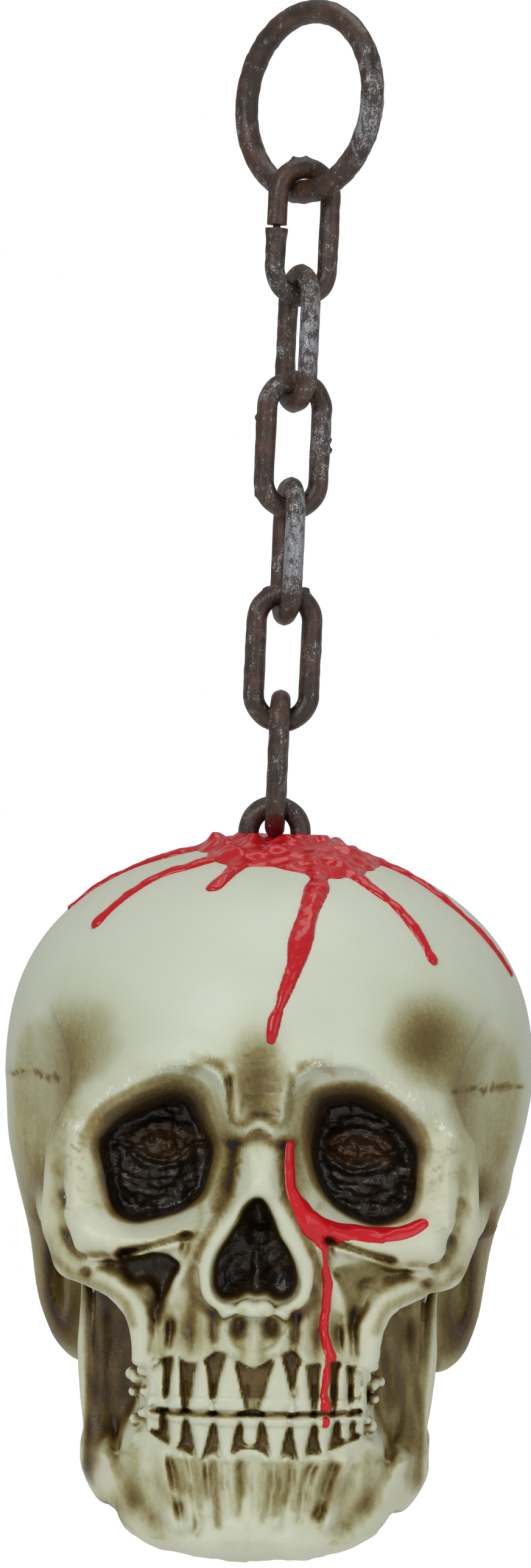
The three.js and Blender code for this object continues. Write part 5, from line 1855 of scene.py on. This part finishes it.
@dataclass(frozen=True)
class Studio:
    """Soft lamps, a white room and a pale floor."""

    aim: Place = (0, 0, -0.3)
    lamps: tuple[Lamp, ...] = (
        Lamp("key", (-0.75, -1.5, 0.65), (1.0, 1.0), 15),
        Lamp("fill", (1.3, -1.2, 0.1), (1.0, 1.4), 6),
        Lamp("top", (0.1, 0.1, 1.2), (0.9, 0.9), 6),
    )
    room_light: float = 0.42
    backdrop: float = 1.0
    floor_drop: float = 0.62
    floor_size: float = 6.0
    floor_glow: float = 1.15
    floor_glow_share: float = 0.8
    white: Rgba = (1, 1, 1, 1)

    def build(self) -> None:
        """Adds the lamps, the world and the floor."""
        bpy.context.scene.view_settings.view_transform = "Standard"
        for lamp in self.lamps:
            lamp.build(self.aim)
        self.build_world()
        self.build_floor()

    def build_world(self) -> None:
        """Makes the room, which is whiter to the camera than the light that it gives."""
        world = bpy.data.worlds.new("white_room")
        world.use_nodes = True
        bpy.context.scene.world = world
        make = Nodes(world.node_tree)
        light = make.node("ShaderNodeBackground", {}, {0: self.white, 1: self.room_light})
        seen_room = make.node("ShaderNodeBackground", {}, {0: self.white, 1: self.backdrop})
        to_camera = make.node("ShaderNodeLightPath", output="Is Camera Ray")
        through = make.node("ShaderNodeLightPath", output="Is Transmission Ray")
        room = make.node("ShaderNodeMixShader", {},
                         {0: to_camera.larger(through), 1: light, 2: seen_room})
        make.feed(make.tree.nodes.new("ShaderNodeOutputWorld").inputs[0], room)

    def build_floor(self) -> None:
        """Makes the pale floor, which glows to the camera so that it runs into the room."""
        bpy.ops.object.select_all(action="DESELECT")
        bpy.ops.mesh.primitive_plane_add(size=self.floor_size, location=(0, 0, -self.floor_drop))
        floor = bpy.context.object
        floor.name = "floor"
        make = Finish("pale_floor")
        shade = make.noise(3, 2) * 0.02
        make.set(Base_Color=make.mix(shade, seen((250, 250, 250)), seen((240, 240, 240))),
                 Roughness=0.9)
        glow = make.node("ShaderNodeEmission", {},
                         {"Color": self.white, "Strength": self.floor_glow})
        to_camera = make.node("ShaderNodeLightPath", output="Is Camera Ray")
        plain = Wire(make, make.shader.outputs[0])
        either = make.node("ShaderNodeMixShader", {},
                           {0: to_camera * self.floor_glow_share, 1: plain, 2: glow})
        make.feed(make.output.inputs[0], either)
        dress(floor, make.material)


# The red glue

@dataclass(frozen=True)
class Run:
    """One run of glue over the bone: places from end to end, each with its half width."""

    places: tuple[PlaceAndRadius, ...]
    height: float = 1.6


@dataclass
class Glue:
    """Glue that lies on the sculpted surface.

    Args:
        sculpt: The surface that it lies on.
        name: The piece's name.
        runs: Its runs.
        patch: The outline of a pool, seen from above.
        patch_height: How thick the pool is.
        mounds: Balls of glue, each with its place and radius.
        step: Spacing of the grid that it is skinned on.
        depth: How far it reaches into the bone.
        rough: Height of its small bumps.
        lumps: Number of lumps on the pool.
        margin: How far its grid reaches past it.
        bare: The thickness that stands for no glue at all.
    """

    sculpt: Sculpt
    name: str
    runs: tuple[Run, ...]
    patch: tuple[Spot, ...] = ()
    patch_height: float = 2
    mounds: tuple[PlaceAndRadius, ...] = ()
    step: float = 0.6
    depth: float = 0.9
    rough: float = 0.25
    lumps: int = 0
    margin: float = 7
    bare: float = -9.0

    def lines(self) -> list[tuple[Run, Array]]:
        """Each run's places, laid on the surface."""
        laid = []
        for run in self.runs:
            line = smooth_line(run.places, steps=5)
            line[:, :3] = self.sculpt.settle(line[:, :3], 14, 2.5)
            laid.append((run, line))
        return laid

    def grid(self, lines: list[tuple[Run, Array]]) -> list[Array]:
        """The grid lines round all of the glue."""
        every = [line for _, line in lines]
        if self.patch:
            every.append(np.array([(x, y, z, 3) for x, y in self.patch for z in (-12, 4)]))
        if self.mounds:
            every.append(np.array(self.mounds))
        corners = np.vstack(every)
        low, high = corners[:, :3].min(0) - self.margin, corners[:, :3].max(0) + self.margin
        return [np.arange(a, b, self.step) for a, b in zip(low, high)]

    def thickness(self, axes: list[Array], lines: list[tuple[Run, Array]]) -> Array:
        """How thick the runs and the pool lie at every place of the grid."""
        thick = np.full([len(axis) for axis in axes], self.bare, np.float32)
        for run, line in lines:
            for start, end in zip(line[:-1], line[1:]):
                self.swell(thick, axes, start, end, run.height)
        if self.patch:
            x, y = axes[0][:, None], axes[1][None, :]
            flat = rim_distance(x, y, self.patch)
            dome = self.patch_height * (1 - np.exp(flat / 3.5))
            dome = np.where(dome > 0, dome, dome * 1.5) + self.lumpy(x, y, flat)
            thick = soft_max(thick, dome[:, :, None], 1.2)
        return thick

    def build(self, seat: Seat) -> bpy.types.Object:
        """Skins the glue.

        Args:
            seat: Where the skull hangs.

        Returns:
            The piece.
        """
        lines = self.lines()
        axes = self.grid(lines)
        thick = self.thickness(axes, lines)
        near = np.argwhere(thick > -1.6)
        places = np.stack([axes[n][near[:, n]] for n in range(3)], 1)
        bone = self.sculpt.sample(places)
        height = thick[tuple(near.T)]
        bumps = wave_noise(*places.T, 4.6, 41)
        height = height + self.rough * bumps * smooth_step(-0.2, 0.8, height)
        for cx, cy, cz, r in self.mounds:
            gap = np.linalg.norm(places - (cx, cy, cz), axis=1)
            height = soft_max(height, bone - (gap - r), 1.5)
        glue = Sculpt(*axes)
        glue.field[tuple(near.T)] = np.maximum(bone - height, -bone - self.depth)
        points, faces = glue.skin()
        return skinned_piece(self.name, glue.settle(points, 1, 0.15), faces, seat)

    def lumpy(self, x: Array, y: Array, flat: Array) -> Array:
        """Random lumps and folds over the pool, none of them past its edge."""
        rng = np.random.default_rng(33)
        total = 0.5 * wave_noise(x, y, 0, 7, 35)
        for _ in range(self.lumps):
            cx, cy, r = rng.uniform(-19, 27), rng.uniform(-34, 16), rng.uniform(1.4, 3.6)
            lump = np.exp(-((x - cx) ** 2 + (y - cy) ** 2) / r ** 2)
            total = total + rng.uniform(0.5, 1.5) * lump
        return total * smooth_step(2.5, -2.5, flat)

    @staticmethod
    def swell(thick: Array, axes: list[Array], start: Array, end: Array, height: float) -> None:
        """Raises the glue's thickness along one short stretch of a run."""
        most = max(start[3], end[3]) * 1.9 + 0.5
        low = np.minimum(start[:3], end[:3]) - most
        high = np.maximum(start[:3], end[:3]) + most
        part = tuple(slice(*np.searchsorted(axis, (a, b))) for axis, a, b in zip(axes, low, high))
        x, y, z = (axis[cut] for axis, cut in zip(axes, part))
        x, y, z = x[:, None, None], y[None, :, None], z[None, None, :]
        way = end[:3] - start[:3]
        px, py, pz = x - start[0], y - start[1], z - start[2]
        along = np.clip((px * way[0] + py * way[1] + pz * way[2]) / (way @ way + 1e-9), 0, 1)
        gap = (px - along * way[0]) ** 2 + (py - along * way[1]) ** 2
        gap = gap + (pz - along * way[2]) ** 2
        half = start[3] + (end[3] - start[3]) * along
        tall = height * np.minimum(half / 2, 1.2)
        dome = tall * (1 - gap / half ** 2)
        thick[part] = soft_max(thick[part], np.where(dome > 0, dome, dome * 2.2), 0.5)


CROWN_RUNS = (
    Run(((-14, -4, -1, 3.2), (-30, -5, -4, 2.6), (-40, 0, -9, 1.9), (-50, 2, -15, 1.7),
         (-54, 1.4, -18, 1.1), (-58, 0, -21, 1.6))),
    Run(((-12, -26, -4, 3.2), (-23, -31, -8, 2.4), (-31, -31, -11, 2), (-39, -34, -16, 2.2),
         (-44.6, -37, -21, 1.7), (-48.4, -38.4, -24.4, 2.6))),
    Run(((-8, -33, -6, 4), (-12, -43, -9, 2.5), (-15.7, -49.4, -13.2, 2.7))),
    Run(((12, -30, -5, 4.6), (13.4, -44, -10, 2.7), (13, -50, -13, 3.6), (10.8, -62, -20, 2.9),
         (9.2, -70, -27, 3.5), (7.8, -75, -34, 2.5), (5.4, -79.6, -41, 2), (4.2, -81, -45, 1.4),
         (2.8, -82.4, -49, 2), (2.1, -84, -54, 1.5))),
    Run(((18, -30, -6, 3.4), (29, -40, -12, 2.4), (35, -43, -17, 2.1), (40, -47, -23, 2.3),
         (44.4, -50.6, -28, 1.7), (46.4, -52.4, -30.6, 2.3))),
    Run(((21, -5, -3, 3.6), (33, -7, -6, 2.8), (41, -9, -10, 2.3), (48, -13, -16, 2.3),
         (53, -13.4, -19.6, 1.5), (58, -12.6, -24, 1.9), (63, -11, -29, 1.8), (68, -7, -36, 1.6))),
)
CROWN_PATCH = ((-23, 1), (-20, -17), (-13, -36), (1.5, -40), (15, -43), (25, -34), (31, -9),
               (23, 14), (8, 21), (-11, 17))
CROWN_MOUNDS = ((-7.5, -13, -1, 4.6), (7.5, -13, -1, 4.8), (0, -13, -2, 4))
TEAR_RUNS = (
    Run(((9.9, -82, -83.2, 1.9), (10.3, -84, -90, 2.4), (11.4, -86, -95, 2.9),
         (13.4, -86, -99.4, 4), (16.6, -86, -104, 4.4), (18, -85, -108, 2.8),
         (18.8, -84, -112, 1.5), (19.9, -82, -121.8, 1.5), (21.2, -82, -133, 1.5),
         (21.7, -82, -141, 1.9), (21.7, -82, -146, 1.9), (21.3, -83, -150.6, 1.2),
         (20.9, -83, -154, 2.1), (20.9, -83, -155.6, 2.1)), 1.8),
    Run(((12.6, -86, -98.6, 3), (17, -86, -101.4, 3.4), (23, -84, -103.4, 3.4),
         (30, -80, -104.6, 3.6), (35, -78, -106.2, 3.3), (39.9, -76, -106.2, 2.7),
         (45.6, -72, -106, 2.1)), 1.7),
    Run(((24, -82, -105, 2.4), (30, -80, -108, 2.4), (33.6, -79, -109.8, 1.7)), 1.5),
)
DROP_RUNS = (Run(((20.3, -82.5, -158.9, 1.2), (20.3, -82.5, -160, 1.25)), 2.4),)


def build_bone(skull: Skull, sculpt: Sculpt, seat: Seat) -> None:
    """Makes the skull's piece with its finish."""
    points, faces = sculpt.skin()
    bone = skinned_piece("skull_bone", sculpt.settle(points), faces, seat)
    thin_out(bone, MOST_TRIANGLES)
    points = sculpt_places(bone, seat)
    BoneColours(skull, sculpt).paint_on(bone, points)
    dress(bone, BoneFinish().build())
    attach(bone, "skull")
    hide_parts("skull_shell")
    LOG.info("skull: %d points", len(points))


def build_glue(sculpt: Sculpt, seat: Seat) -> None:
    """Makes the red glue on the crown, below the eye and on the teeth."""
    blood = BloodFinish().build()
    glues = (
        Glue(sculpt, "crown_glue", CROWN_RUNS, CROWN_PATCH, mounds=CROWN_MOUNDS, rough=0.4,
             lumps=46),
        Glue(sculpt, "tear_glue", TEAR_RUNS, step=0.42),
        Glue(sculpt, "drop_glue", DROP_RUNS, step=0.3),
    )
    for glue, node in zip(glues, ("blood_crown", "blood_tear", "blood_drop")):
        piece = glue.build(seat)
        paint(piece, "haze", np.full(len(piece.data.vertices), float(node == "blood_crown")))
        dress(piece, blood)
        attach(piece, "skull")
        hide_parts(node)
        LOG.info("%s: %d points", node, len(piece.data.vertices))


def build_chain() -> None:
    """Makes the ring, the links and the staple."""
    chain = ChainFinish().build()
    for loop in LOOPS:
        piece = loop.build()
        dress(piece, chain)
        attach(piece, loop.body)
        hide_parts(loop.node)


def main() -> None:
    """Builds the whole decoration."""
    logging.basicConfig(level=logging.INFO, format="%(message)s")
    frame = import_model()
    bpy.ops.object.select_all(action="DESELECT")
    seat = Seat()
    skull = Skull()
    sculpt = skull.build()
    build_bone(skull, sculpt, seat)
    build_glue(sculpt, seat)
    nodes = frame["nodes"]
    build_chain()
    dress(nodes["glue_plug"], GlueFinish().build())
    Eye().build()
    Studio().build()


if __name__ == "__main__":
    main()
